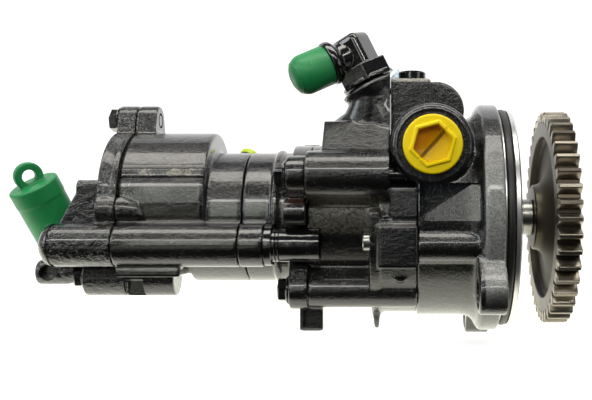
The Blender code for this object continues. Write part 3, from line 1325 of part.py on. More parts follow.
def build_sleeve():
    body = rod_x(SLEEVE_LEFT_X, SLEEVE_RIGHT_X, SLEEVE_Y, GALLERY_Z, SLEEVE_RADIUS)
    collar = rod_x(SLEEVE_COLLAR_X[0], SLEEVE_COLLAR_X[1], SLEEVE_Y, GALLERY_Z, SLEEVE_COLLAR_RADIUS)
    bore = SLEEVE_RADIUS - SLEEVE_WALL
    way = rod_x(SLEEVE_LEFT_X - MM, SLEEVE_RIGHT_X + MM, SLEEVE_Y, GALLERY_Z, bore, COARSE)
    part("crossover_sleeve", BLACK_PAINT, body, [collar], [way])


def cover_ear(x_from, x_to):
    """The rounded ear for the top bolt, as thick as the piece it is cast on."""
    low = BIG_Z + BIG_RADIUS - COVER_EAR_SINK
    foot = box((min(x_from, x_to), EAR_BOLT_Y - COVER_EAR_HALF, low),
               (max(x_from, x_to), EAR_BOLT_Y + COVER_EAR_HALF, low + COVER_EAR_FOOT))
    return hull(rod_x(x_from, x_to, EAR_BOLT_Y, EAR_BOLT_Z, COVER_EAR_RADIUS), foot)


def far_ear(x_from, x_to):
    inner = rod_x(x_from, x_to, FAR_BOLT_Y * 0.5, FAR_BOLT_Z * 0.5, FAR_EAR_RADIUS * 1.4)
    return hull(rod_x(x_from, x_to, FAR_BOLT_Y, FAR_BOLT_Z, FAR_EAR_RADIUS), inner)


COVER_BOLTS = {
    "top": (EAR_BOLT_Y, EAR_BOLT_Z),
    "lower": (LOWER_BOSS_Y, LOWER_BOSS_Z),
    "far": (FAR_BOLT_Y, FAR_BOLT_Z),
}


def build_rear_pump_body():
    left = COVER_SEAM_X + FIT
    right = ADAPTER_LEFT_X - FIT
    body = rod_x(left, STEP_X, 0, BIG_Z, BIG_RADIUS, FINE)
    port_top = small_port_base + SMALL_PORT_AXIS * SMALL_PORT_BOSS_LENGTH
    ridge_y, ridge_z = polar(BIG_RADIUS - SEAM_RIDGE_SINK, SEAM_RIDGE_DEGREES)
    add = [
        rod_x(STEP_X - STEP_SLOPE - STEP_LAP, right, 0, 0, BARREL_TWO_RADIUS, FINE),
        rod_x(left, right, SLEEVE_Y, GALLERY_Z, TUBE_RADIUS),
        box((left, SLEEVE_Y - TUBE_WEB_FRONT, GALLERY_Z), (STEP_X, TUBE_WEB_BACK_Y, BIG_Z)),
        tube_web(STEP_X - MM, right),
        cover_ear(left, BODY_EAR_RIGHT_X),
        far_ear(left, BODY_EAR_RIGHT_X),
        rod_x(left, LOWER_CASTING_X[1], LOWER_BOSS_Y, LOWER_BOSS_Z, LOWER_CASTING_RADIUS),
        box((left, ridge_y - SEAM_RIDGE_SINK - SEAM_RIDGE_STAND, ridge_z + BIG_Z - SEAM_RIDGE_WIDTH / 2),
            (STEP_X, ridge_y + SEAM_RIDGE_DEPTH, ridge_z + BIG_Z + SEAM_RIDGE_WIDTH / 2)),
        box(*zip(UNDER_RIB_X, UNDER_RIB_Y, UNDER_RIB_Z)),
        rod(small_port_base, port_top, SMALL_PORT_BOSS_RADIUS),
    ]
    cut = [
        rod_x(left - MM, POCKET_RIGHT_X, 0, 0, pocket_radius, FINE),
        rod_x(left - MM, POCKET_RIGHT_X, 0, driven_z, pocket_radius, FINE),
        rod_x(POCKET_RIGHT_X - MM, right + MM, 0, 0, COUPLER_RADIUS + FIT),
        rod(port_top + SMALL_PORT_AXIS * MM, port_top - SMALL_PORT_AXIS * SMALL_PORT_BORE_DEPTH,
            SMALL_PORT_BORE_RADIUS, segments=COARSE),
        box((left - MM, LOWER_BOSS_Y - 2 * LOWER_CASTING_RADIUS, LOWER_BOSS_Z - 2 * LOWER_CASTING_RADIUS),
            (LOWER_NOTCH_X[1], LOWER_BOSS_Y - LOWER_CASTING_RADIUS + LOWER_NOTCH_DEPTH, LOWER_BOSS_Z + MM)),
    ]
    for name, (y, z) in COVER_BOLTS.items():
        reach = BODY_EAR_RIGHT_X + MM if name != "lower" else COVER_SEAM_X + COVER_BOLT_REACH + FIT
        cut.append(rod_x(left - MM, reach, y, z, BOLT_RADIUS + FIT, COARSE))
    return part("rear_pump_body", BLACK_PAINT, body, add, cut)


def build_rear_pump_cover():
    left, right = COVER_LEFT_X, COVER_SEAM_X
    body = rod_x(left, right, 0, BIG_Z, BIG_RADIUS, FINE)
    tube_dome = TUBE_END_X + TUBE_DOME_LENGTH
    dome = [(0, TUBE_DOME_LENGTH)]
    for i in range(1, 6):
        angle = math.radians(90 - 18 * i)
        dome.append((TUBE_RADIUS * math.cos(angle), TUBE_DOME_LENGTH * math.sin(angle)))
    groove = tube_dome - TUBE_GROOVE_X
    floor = TUBE_RADIUS - TUBE_GROOVE_DEPTH
    tube = turned([
        *dome,
        (TUBE_RADIUS, groove),
        (floor, groove - TUBE_GROOVE_CHAMFER),
        (floor, groove - TUBE_GROOVE_WIDTH),
        (TUBE_RADIUS, groove - TUBE_GROOVE_WIDTH - TUBE_GROOVE_CHAMFER),
        (TUBE_RADIUS, tube_dome - right),
        (0, tube_dome - right),
    ], axis_frame((tube_dome, SLEEVE_Y, GALLERY_Z), -AXIS_X), MEDIUM, closed=False)
    web = extruded([[
        (right - WEB_SINK, WEB_LUG_Z + WEB_CORNER),
        (WEB_LUG_X[0] + WEB_CORNER, WEB_LUG_Z + WEB_CORNER),
        (WEB_LUG_X[0], WEB_LUG_Z),
        (TUBE_END_X + WEB_FOOT_INSET, GALLERY_Z + WEB_FOOT_RISE),
        (right - WEB_SINK, GALLERY_Z),
    ]], facing_frame(WEB_Y), WEB_THICKNESS)
    nozzle_end = OUTLET_BASE + OUTLET_AXIS * OUTLET_NOZZLE_LENGTH
    boss_foot = OUTLET_BASE - OUTLET_AXIS * OUTLET_BOSS_LENGTH
    outlet = rod(boss_foot, OUTLET_BASE - OUTLET_AXIS * FIT, OUTLET_BOSS_RADIUS)
    trunk = hull(
        rod(boss_foot, OUTLET_BASE - OUTLET_AXIS * OUTLET_BOSS_LENGTH / 2, OUTLET_BOSS_RADIUS * 0.86),
        rod_x(left - MM, right - WEB_SINK, TRUNK_Y, TRUNK_Z, TRUNK_RADIUS),
    )
    lug = hull(
        rod_x(LOWER_LUG_X[0], LOWER_LUG_X[1], LOWER_LUG_Y, LOWER_LUG_Z, LOWER_LUG_RADIUS),
        rod_x(LOWER_LUG_X[0] + LOWER_LUG_REACH, left, LOWER_LUG_Y, LOWER_LUG_Z + LOWER_LUG_LIFT,
              LOWER_LUG_RADIUS),
    )
    add = [
        tube,
        web,
        cover_ear(left, right),
        far_ear(left, right),
        rod_x(WEB_LUG_X[0], WEB_LUG_X[1], WEB_Y, WEB_LUG_Z, WEB_LUG_RADIUS),
        box((left, SLEEVE_Y - TUBE_WEB_FRONT, GALLERY_Z), (right, TUBE_WEB_BACK_Y, BIG_Z)),
        rod_x(LOWER_CASTING_X[0], right, LOWER_BOSS_Y, LOWER_BOSS_Z, LOWER_CASTING_RADIUS),
        outlet,
        trunk,
        lug,
        rod(OUTLET_BASE - OUTLET_AXIS * OUTLET_NOZZLE_SINK, nozzle_end, OUTLET_NOZZLE_RADIUS),
    ]
    lug_face = Vector((LOWER_LUG_X[0] + LUG_RECESS_INSET, LOWER_LUG_Y - LOWER_LUG_RADIUS, LOWER_LUG_Z))
    cut = [
        rod(nozzle_end + OUTLET_AXIS * MM, OUTLET_BASE, OUTLET_BORE_RADIUS, segments=COARSE),
        rod(lug_face - AXIS_Y * MM, lug_face + AXIS_Y * LUG_RECESS_DEPTH, LUG_RECESS_RADIUS,
            segments=COARSE),
    ]
    for name, (y, z) in COVER_BOLTS.items():
        seat = LOWER_CASTING_X[0] if name == "lower" else left
        cut.append(rod_x(seat - HEAD_CLEARANCE, seat, y, z, BOLT_FLANGE_RADIUS + FIT, COARSE))
        cut.append(rod_x(seat - MM, right + MM, y, z, BOLT_RADIUS + FIT, COARSE))
    return part("rear_pump_cover", BLACK_PAINT, body, add, cut)


def build_left_cap():
    inner = OUTLET_NOZZLE_RADIUS + FIT
    well = LEFT_CAP_LENGTH - LEFT_CAP_TOP
    cap = turned([
        (0, LEFT_CAP_LENGTH),
        (LEFT_CAP_RADIUS - LEFT_CAP_CHAMFER, LEFT_CAP_LENGTH),
        (LEFT_CAP_RADIUS, LEFT_CAP_LENGTH - LEFT_CAP_CHAMFER),
        (LEFT_CAP_RADIUS, LEFT_CAP_LENGTH * LEFT_CAP_STEP_TO),
        (LEFT_CAP_RADIUS - LEFT_CAP_STEP, LEFT_CAP_LENGTH * LEFT_CAP_STEP_FROM),
        (LEFT_CAP_RADIUS - LEFT_CAP_STEP, 0),
        (inner, 0),
        (inner, well),
        (0, well),
    ], axis_frame(OUTLET_BASE, OUTLET_AXIS), MEDIUM, closed=False)
    eye_axis = OUTLET_AXIS.cross(EYE_FACES).cross(OUTLET_AXIS).normalized()
    eye_across = OUTLET_AXIS.cross(eye_axis)
    centre = OUTLET_BASE + OUTLET_AXIS * (LEFT_CAP_LENGTH + EYE_RISE)
    frame = Matrix((
        (eye_across.x, OUTLET_AXIS.x, eye_axis.x, centre.x),
        (eye_across.y, OUTLET_AXIS.y, eye_axis.y, centre.y),
        (eye_across.z, OUTLET_AXIS.z, eye_axis.z, centre.z),
        (0, 0, 0, 1),
    ))
    eye = extruded([circle(EYE_RADIUS, MEDIUM), circle(EYE_HOLE_RADIUS, COARSE)], frame, EYE_THICKNESS)
    foot_low = -EYE_RISE - MM
    boolean(eye, box_in(frame, (-EYE_RADIUS - MM, foot_low - EYE_TRIM, -EYE_THICKNESS),
                        (EYE_RADIUS + MM, foot_low, EYE_THICKNESS)), "DIFFERENCE")
    part("left_port_cap", GREEN_PLASTIC, cap, [eye])


def box_in(frame, low, high):
    obj = box(low, high)
    obj.matrix_world = frame @ obj.matrix_basis
    return obj


def build_rear_port_plug():
    port_top = small_port_base + SMALL_PORT_AXIS * (SMALL_PORT_BOSS_LENGTH + FIT)
    thread = SMALL_PORT_BORE_RADIUS - FIT
    height = SMALL_PLUG_THICKNESS
    plug = turned([
        (0, height),
        (SMALL_PLUG_RADIUS - MM, height),
        (SMALL_PLUG_RADIUS, height - MM),
        (SMALL_PLUG_RADIUS, 0),
        (thread, 0),
        (thread, -SMALL_PORT_BORE_DEPTH + 2 * FIT + MM),
        (0, -SMALL_PORT_BORE_DEPTH + 2 * FIT + MM),
    ], axis_frame(port_top, SMALL_PORT_AXIS), COARSE, closed=False)
    part("rear_port_plug", LIME_PLASTIC, plug)


def build_small_gears():
    journal_left = rear_block_x - BLOCK_LENGTH / 2 + FIT
    journal_right = front_block_x + BLOCK_LENGTH / 2
    top_tooth = math.pi / 2
    drive = extruded([gear_outline(SMALL_GEAR_MODULE, SMALL_GEAR_TEETH, SMALL_GEAR_PRESSURE_ANGLE,
                                   SMALL_GEAR_BACKLASH, top_tooth)],
                     radial_frame(small_gear_x), SMALL_GEAR_WIDTH)
    coupler_right = tail_left_x - FIT * 2
    coupler_left = coupler_right - COUPLER_LENGTH
    add = [
        rod_x(journal_left, journal_right, 0, 0, JOURNAL_RADIUS),
        rod_x(journal_right - MM, coupler_right, 0, 0, JOURNAL_RADIUS - MM),
        rod_x(coupler_left, coupler_right, 0, 0, COUPLER_RADIUS),
    ]
    slot_depth = TANG_LENGTH + FIT * 2
    half = TANG_THICKNESS / 2 + FIT
    across = 2 * COUPLER_RADIUS
    slot = box((coupler_right - slot_depth, -across, -half), (coupler_right + MM, across, half))
    part("rear_drive_gear", STEEL, drive, add, [slot], drive_axis)
    half_tooth = math.pi / SMALL_GEAR_TEETH
    frame = Matrix.Translation((0, 0, driven_z)) @ radial_frame(small_gear_x)
    driven = extruded([gear_outline(SMALL_GEAR_MODULE, SMALL_GEAR_TEETH, SMALL_GEAR_PRESSURE_ANGLE,
                                    SMALL_GEAR_BACKLASH, top_tooth + half_tooth)],
                      frame, SMALL_GEAR_WIDTH)
    part("rear_driven_gear", STEEL, driven,
         [rod_x(journal_left, journal_right, 0, driven_z, JOURNAL_RADIUS)], pivot=driven_axis)


def build_bearing_blocks():
    outer = pocket_radius - FIT
    for name, x in (("front_bearing_block", front_block_x), ("rear_bearing_block", rear_block_x)):
        left, right = x - BLOCK_LENGTH / 2, x + BLOCK_LENGTH / 2
        body = rod_x(left, right, 0, 0, outer)
        upper = rod_x(left, right, 0, driven_z, outer)
        bores = [rod_x(left - MM, right + MM, 0, z, JOURNAL_RADIUS + FIT) for z in (0, driven_z)]
        part(name, BRONZE, body, [upper], bores)


def build_bolts():
    for name, degrees in BOLT_ANGLES.items():
        y, z = polar(BOLT_CIRCLE_RADIUS, degrees)
        head = PLATE_LEFT_X - FIT
        flange_bolt(f"housing_bolt_{name}", head, y, z, JOINT_X + HOUSING_BOLT_REACH - head)
    for name, (y, z) in COVER_BOLTS.items():
        head = (LOWER_CASTING_X[0] if name == "lower" else COVER_LEFT_X) - FIT
        end = BODY_EAR_RIGHT_X if name != "lower" else COVER_SEAM_X + COVER_BOLT_REACH
        flange_bolt(f"cover_bolt_{name}", head, y, z, end - head)


build_flange_housing()
build_pilot_o_ring()
build_shaft()
build_drive_gear()
build_gear_fasteners()
build_bearing()
build_seal_and_circlip()
build_cartridge()
build_rotor_and_vanes()
build_main_housing()
build_bush_and_pin()
build_valve()
build_pressure_plug()
build_elbow()
build_adapter()
build_sleeve()
build_rear_pump_body()
build_rear_pump_cover()
build_left_cap()
build_rear_port_plug()
build_small_gears()
build_bearing_blocks()
build_bolts()
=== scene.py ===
"""A tandem power steering pump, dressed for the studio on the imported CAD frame.

X runs along the drive axis towards the gear, -Y faces the camera and Z is up. Shapes are drawn in
millimetres and become metres as they turn into objects; materials work in metres.
"""

import itertools
import json
import math

import bmesh
import bpy
from mathutils import Matrix, Vector

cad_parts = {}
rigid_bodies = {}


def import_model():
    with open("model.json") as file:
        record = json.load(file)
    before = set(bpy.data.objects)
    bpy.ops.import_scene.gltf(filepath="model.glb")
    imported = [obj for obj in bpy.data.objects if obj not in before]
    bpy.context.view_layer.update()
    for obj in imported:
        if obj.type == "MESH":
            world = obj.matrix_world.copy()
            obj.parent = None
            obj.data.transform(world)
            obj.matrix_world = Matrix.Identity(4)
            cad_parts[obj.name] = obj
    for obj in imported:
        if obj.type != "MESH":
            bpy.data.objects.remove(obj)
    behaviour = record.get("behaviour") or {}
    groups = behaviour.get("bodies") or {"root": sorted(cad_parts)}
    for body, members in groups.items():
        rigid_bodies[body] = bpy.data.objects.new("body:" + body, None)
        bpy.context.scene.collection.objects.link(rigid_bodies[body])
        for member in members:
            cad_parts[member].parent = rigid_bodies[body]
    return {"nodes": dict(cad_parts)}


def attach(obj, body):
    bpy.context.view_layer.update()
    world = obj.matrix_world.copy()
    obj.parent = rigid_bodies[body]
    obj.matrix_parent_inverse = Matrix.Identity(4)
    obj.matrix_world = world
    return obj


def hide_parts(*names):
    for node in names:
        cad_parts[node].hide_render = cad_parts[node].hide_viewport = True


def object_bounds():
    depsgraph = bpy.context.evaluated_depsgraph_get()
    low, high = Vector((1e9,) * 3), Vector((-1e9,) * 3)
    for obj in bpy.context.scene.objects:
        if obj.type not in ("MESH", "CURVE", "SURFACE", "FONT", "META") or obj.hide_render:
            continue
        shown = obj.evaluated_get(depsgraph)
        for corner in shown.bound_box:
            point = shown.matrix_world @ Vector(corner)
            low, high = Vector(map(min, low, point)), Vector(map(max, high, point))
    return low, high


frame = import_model()
cad_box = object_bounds()
nodes = frame["nodes"]
scene = bpy.context.scene
mm = 0.001
AXIS_X = Vector((1, 0, 0))
AXIS_Y = Vector((0, 1, 0))
AXIS_Z = Vector((0, 0, 1))

# The studio: a pale sweep that clips to white, a soft box overhead with a strip in front of it, a
# weak window on the left and two cards. The black paint shows little but their mirror images, so
# their places make the picture. The lens is long, level and shifted sideways, and not turned.
camera_data = bpy.data.cameras.new("camera")
camera_data.sensor_width = 36
camera_data.lens = 52.7
camera_data.shift_x = -0.179
camera = bpy.data.objects.new("camera", camera_data)
eye = Vector((-59.1, -560, 11)) * mm
camera.matrix_world = Matrix.Translation(eye) @ Matrix.Rotation(math.radians(90), 4, "X")
scene.collection.objects.link(camera)
scene.camera = camera
scene.view_settings.view_transform = "Standard"

world = bpy.data.worlds.new("studio")
scene.world = world
world.use_nodes = True
sky = world.node_tree
background = sky.nodes["Background"]
seen = sky.nodes.new("ShaderNodeBackground")
seen.inputs["Color"].default_value = (1, 1, 1, 1)
background.inputs["Color"].default_value = (0.5, 0.58, 0.74, 1)
background.inputs["Strength"].default_value = 0.1
path = sky.nodes.new("ShaderNodeLightPath")
either = sky.nodes.new("ShaderNodeMixShader")
sky.links.new(path.outputs["Is Camera Ray"], either.inputs["Fac"])
sky.links.new(background.outputs["Background"], either.inputs[1])
sky.links.new(seen.outputs["Background"], either.inputs[2])
sky.links.new(either.outputs["Shader"], sky.nodes["World Output"].inputs["Surface"])


def add_light(name, place, target, width, height, power, colour):
    data = bpy.data.lights.new(name, "AREA")
    data.shape = "RECTANGLE"
    data.size = width
    data.size_y = height
    data.energy = power
    data.color = colour
    light = bpy.data.objects.new(name, data)
    light.location = place
    light.rotation_euler = (Vector(target) - Vector(place)).to_track_quat("-Z", "Y").to_euler()
    scene.collection.objects.link(light)


add_light("overhead_box", (-0.12, -0.2, 0.78), (-0.12, -0.05, 0), 1.5, 0.3, 8.0, (1, 0.97, 0.9))
add_light("front_strip", (-0.12, -1.1, 0.62), (-0.12, 0, 0), 1.7, 0.09, 6.5, (1, 0.98, 0.93))
add_light("left_window", (-1.15, -0.5, 0.4), (-0.12, 0, 0), 0.45, 0.6, 4.0, (0.92, 0.97, 1))
add_light("drum_card", (-0.47, -1.25, 0.33), (-0.2, 0, 0.05), 0.26, 0.55, 1.3, (0.95, 1, 0.88))
add_light("right_card", (0.95, -0.7, 0.25), (0, 0, 0), 0.4, 0.7, 1.2, (1, 0.98, 0.94))


# Shader maths reads as formulas: a Signal wraps a socket, and its operators make Math nodes.
class Signal:
    def __init__(self, tree, socket):
        self.tree = tree
        self.socket = socket

    def math(self, operation, *others):
        node = self.tree.nodes.new("ShaderNodeMath")
        node.operation = operation
        for slot, value in zip(node.inputs, (self, *others)):
            connect(self.tree, value, slot)
        return Signal(self.tree, node.outputs[0])

    def __add__(self, other):
        return self.math("ADD", other)

    def __mul__(self, other):
        return self.math("MULTIPLY", other)

    def __sub__(self, other):
        return self.math("SUBTRACT", other)

    def __rsub__(self, other):
        return (self * -1) + other

    __radd__ = __add__
    __rmul__ = __mul__

    def step(self, low, high):
        """0 at low, 1 at high, smooth between them; low may be the larger."""
        node = self.tree.nodes.new("ShaderNodeMapRange")
        node.interpolation_type = "SMOOTHSTEP"
        connect(self.tree, self, node.inputs["Value"])
        node.inputs["From Min"].default_value = low
        node.inputs["From Max"].default_value = high
        return Signal(self.tree, node.outputs["Result"])


def connect(tree, value, slot):
    if isinstance(value, Signal):
        tree.links.new(value.socket, slot)
    else:
        slot.default_value = value


class Surface:
    """One material being wired, on object coordinates in metres."""

    def __init__(self, name):
        self.material = bpy.data.materials.new(name)
        self.material.use_nodes = True
        self.tree = self.material.node_tree
        self.shader = self.tree.nodes["Principled BSDF"]
        where = self.tree.nodes.new("ShaderNodeTexCoord")
        self.place = Signal(self.tree, where.outputs["Object"])
        split = self.tree.nodes.new("ShaderNodeSeparateXYZ")
        self.tree.links.new(where.outputs["Object"], split.inputs[0])
        self.x, self.y, self.z = (Signal(self.tree, socket) for socket in split.outputs)
        self.radius = (self.y * self.y + self.z * self.z).math("SQRT")
        self.relief = None

    def noise(self, scale, detail, roughness, stretch=None):
        node = self.tree.nodes.new("ShaderNodeTexNoise")
        where = self.place
        if stretch:
            mapping = self.tree.nodes.new("ShaderNodeMapping")
            mapping.inputs["Scale"].default_value = stretch
            self.tree.links.new(self.place.socket, mapping.inputs["Vector"])
            where = Signal(self.tree, mapping.outputs["Vector"])
        self.tree.links.new(where.socket, node.inputs["Vector"])
        node.inputs["Scale"].default_value = scale
        node.inputs["Detail"].default_value = detail
        node.inputs["Roughness"].default_value = roughness
        return Signal(self.tree, node.outputs["Fac"])

    def cells(self, scale):
        node = self.tree.nodes.new("ShaderNodeTexVoronoi")
        self.tree.links.new(self.place.socket, node.inputs["Vector"])
        node.inputs["Scale"].default_value = scale
        return Signal(self.tree, node.outputs["Distance"])

    def near(self, low, high, soft):
        """1 inside a box in millimetres, fading to 0 over a soft edge."""
        inside = [signal.step((bottom - soft) * mm, bottom * mm) * signal.step((top + soft) * mm, top * mm)
                  for signal, bottom, top in zip((self.x, self.y, self.z), low, high)]
        return inside[0] * inside[1] * inside[2]

    def blend(self, factor, low, high):
        """Between two colours."""
        node = self.tree.nodes.new("ShaderNodeMix")
        node.data_type = "RGBA"
        connect(self.tree, factor, node.inputs["Factor"])
        for value, slot in ((low, node.inputs[6]), (high, node.inputs[7])):
            connect(self.tree, value if isinstance(value, Signal) else (*value, 1), slot)
        return Signal(self.tree, node.outputs[2])

    def set(self, **values):
        for name, value in values.items():
            slot = self.shader.inputs[name.replace("_", " ")]
            if isinstance(value, tuple) and len(value) == 3 and len(slot.default_value) == 4:
                value = (*value, 1)
            connect(self.tree, value, slot)

    def bump(self, height, strength, distance):
        node = self.tree.nodes.new("ShaderNodeBump")
        node.inputs["Strength"].default_value = strength
        node.inputs["Distance"].default_value = distance
        connect(self.tree, height, node.inputs["Height"])
        if self.relief:
            self.tree.links.new(self.relief, node.inputs["Normal"])
        self.relief = node.outputs["Normal"]
        self.tree.links.new(self.relief, self.shader.inputs["Normal"])


def black_paint(name, rough=1.0, worn=(), stains_and_sheen=(), lumps=0.0, ridges=()):
    """Gloss enamel over sand-cast grain that shows through, chipped on raised edges, with painted glints."""
    surface = Surface(name)
    patches = surface.noise(38, 4, 0.6)
    grain = surface.noise(560, 3, 0.6)
    fine = surface.noise(1500, 2, 0.5)
    sag = surface.noise(110, 2, 0.5)
    # Painted glints: pale specks scattered in patches stand in for light glinting off the grain.
    glint_flecks = surface.cells(900).step(0.2, 0.06) * patches.step(0.54, 0.68)
    base = surface.blend(patches, (0.0016, 0.0017, 0.0026), (0.0075, 0.007, 0.0055))
    # Boxes of colour: real stains and rust, and some painted sheen where a piece catches light.
    for box_low, box_high, soft, colour in stains_and_sheen:
        base = surface.blend(surface.near(box_low, box_high, soft) * grain.step(0.3, 0.6), base, colour)
    chips_and_glints = glint_flecks * 0.8
    clumps = surface.noise(130, 2, 0.5)
    for box_low, box_high, soft, amount in worn:
        spot = surface.near(box_low, box_high, soft) * (amount + 1.2 * (clumps - 0.5))
        worn_here = (spot * 1.5 + grain - 0.75).step(0.35, 0.6) * (0.35 + 0.65 * fine.step(0.35, 0.6))
        chips_and_glints = chips_and_glints.math("MAXIMUM", worn_here)
    # The pale colour mixes painted glints with real chips on worn edges.
    base = surface.blend(chips_and_glints, base, (0.36, 0.34, 0.28))
    gloss = 0.1 + 0.12 * patches + 0.1 * rough * grain + 0.3 * chips_and_glints
    surface.set(Base_Color=base, Roughness=gloss, Specular_IOR_Level=0.65, Coat_Weight=0.65 - 0.5 * chips_and_glints,
                Coat_Roughness=0.07)
    if lumps:
        surface.bump(surface.noise(230, 3, 0.6), lumps, 2 * mm)
    for box_low, box_high, soft in ridges:
        surface.bump(surface.noise(420, 3, 0.7) * surface.near(box_low, box_high, soft), 0.9, 2.2 * mm)
    surface.bump(sag, 0.4, 1.1 * mm)
    surface.bump(grain, 0.5 * rough, 0.7 * mm)
    surface.bump(fine, 0.4 * rough, 0.2 * mm)
    return surface


# The sweep stands just under the pump: a pale floor, which the room in front leaves dark in the
# paint's mirror images, and a white backdrop.
FLOOR_Z = cad_box[0][2] - 5 * mm


def stage_sheet(surface, outline):
    bm = bmesh.new()
    bm.faces.new([bm.verts.new(corner) for corner in outline])
    mesh = bpy.data.meshes.new(surface.material.name)
    bm.to_mesh(mesh)
    bm.free()
    sheet = bpy.data.objects.new(mesh.name, mesh)
    scene.collection.objects.link(sheet)
    mesh.materials.append(surface.material)


floor = Surface("floor")
looked_at = Signal(floor.tree, floor.tree.nodes.new("ShaderNodeLightPath").outputs["Is Camera Ray"])
left_patch = floor.near((-650, -1300, -500), (-250, -320, 500), 60)
lit = floor.y.step(-0.085, -0.05).math("MAXIMUM", left_patch * 0.35)
mirrored = floor.blend(lit, (0.01, 0.01, 0.012), (0.5, 0.5, 0.48))
mirrored_glow = floor.blend(lit, (0, 0, 0), (1, 0.99, 0.85))
floor.set(Base_Color=floor.blend(looked_at, mirrored, (0.75, 0.75, 0.74)),
          Emission_Color=floor.blend(looked_at, mirrored_glow, (0.6, 0.6, 0.6)),
          Emission_Strength=1.3, Roughness=0.9, Specular_IOR_Level=0.0)
stage_sheet(floor, [(-1.2, -1.3, FLOOR_Z), (1, -1.3, FLOOR_Z), (1, 1.1, FLOOR_Z), (-1.2, 1.1, FLOOR_Z)])
backdrop = Surface("backdrop")
backdrop.set(Base_Color=(0.3, 0.3, 0.3), Emission_Color=(1, 1, 1), Emission_Strength=1.0, Roughness=0.9)
stage_sheet(backdrop, [(-3, 1.4, FLOOR_Z), (3, 1.4, FLOOR_Z), (3, 1.4, 3), (-3, 1.4, 3)])

# Mesh tools for the castings. drum, block, stretched and lathe each add a closed skin to a bmesh;
# overlapping skins are melted into one, and softened so that inside corners read as cast fillets.
def drum(into, start, end, radius, segments=96):
    start, end = Vector(start), Vector(end)
    axis = end - start
    turn = axis.to_track_quat("Z", "Y").to_matrix().to_4x4()
    bmesh.ops.create_cone(into, cap_ends=True, segments=segments, radius1=radius, radius2=radius,
                          depth=axis.length, matrix=Matrix.Translation((start + end) / 2) @ turn)


def along_x(into, left, right, y, z, radius, segments=96):
    drum(into, (left, y, z), (right, y, z), radius, segments)


def block(into, low, high, where=Matrix()):
    low, high = Vector(low), Vector(high)
    size = Matrix.Diagonal((*(high - low), 1))
    bmesh.ops.create_cube(into, size=1, matrix=where @ Matrix.Translation((low + high) / 2) @ size)


def ring(centre, axis, radius, count=48):
    centre, axis = Vector(centre), Vector(axis).normalized()
    side = axis.orthogonal().normalized()
    other = axis.cross(side)
    step = 2 * math.pi / count
    return [centre + radius * (math.cos(step * i) * side + math.sin(step * i) * other) for i in range(count)]


def bar(left, right, y, z, radius):
    """The two end rings of a round bar along X."""
    return ring((left, y, z), AXIS_X, radius) + ring((right, y, z), AXIS_X, radius)


def corners(low, high):
    return [Vector(corner) for corner in itertools.product(*zip(low, high))]


def hexagon(where, radius, first, heights):
    """Six corners at each height, from a first angle in degrees on, turned by a matrix."""
    angles = [math.radians(first + 60 * i) for i in range(6)]
    return [where @ Vector((radius * math.cos(a), radius * math.sin(a), height))
            for a in angles for height in heights]


def add_skin(into, scratch):
    bmesh.ops.recalc_face_normals(scratch, faces=scratch.faces)
    mesh = bpy.data.meshes.new("skin")
    scratch.to_mesh(mesh)
    scratch.free()
    into.from_mesh(mesh)
    bpy.data.meshes.remove(mesh)


def stretched(into, *point_sets):
    """The skin stretched over several rings and corners, such as the web between two bosses."""
    scratch = bmesh.new()
    for points in point_sets:
        for point in points:
            scratch.verts.new(point)
    bmesh.ops.remove_doubles(scratch, verts=scratch.verts, dist=1e-3)
    bmesh.ops.convex_hull(scratch, input=scratch.verts)
    bmesh.ops.delete(scratch, geom=[v for v in scratch.verts if not v.link_faces], context="VERTS")
    add_skin(into, scratch)


def lathe(into, profile, origin=(0, 0, 0), axis=AXIS_X, segments=128):
    """(height, radius) points turned round an axis: a closed loop, or a line from axis to axis."""
    origin, axis = Vector(origin), Vector(axis).normalized()
    side = axis.orthogonal().normalized()
    scratch = bmesh.new()
    verts = [scratch.verts.new(origin + axis * height + side * radius) for height, radius in profile]
    pairs = list(zip(verts, verts[1:]))
    if profile[0][1] or profile[-1][1]:
        pairs.append((verts[-1], verts[0]))
    edges = [scratch.edges.new(pair) for pair in pairs]
    bmesh.ops.spin(scratch, geom=verts + edges, cent=origin, axis=axis, steps=segments,
                   angle=2 * math.pi, use_merge=True, use_duplicate=False)
    bmesh.ops.remove_doubles(scratch, verts=scratch.verts, dist=1e-4)
    add_skin(into, scratch)


def bow(centre, radius, start, stop, steps):
    """(height, radius) points on an arc, in degrees from the axis direction."""
    points = []
    for i in range(steps + 1):
        angle = math.radians(start + (stop - start) * i / steps)
        points.append((centre[0] + radius * math.cos(angle), centre[1] + radius * math.sin(angle)))
    return points


def to_object(name, bm):
    bmesh.ops.scale(bm, vec=(mm, mm, mm), verts=bm.verts)
    mesh = bpy.data.meshes.new(name)
    bm.to_mesh(mesh)
    bm.free()
    obj = bpy.data.objects.new(name, mesh)
    scene.collection.objects.link(obj)
    return obj


def applied(obj):
    """The object with its modifiers made real."""
    graph = bpy.context.evaluated_depsgraph_get()
    mesh = bpy.data.meshes.new_from_object(obj.evaluated_get(graph))
    old = obj.data
    obj.modifiers.clear()
    obj.data = mesh
    bpy.data.meshes.remove(old)
    mesh.name = obj.name
    return obj


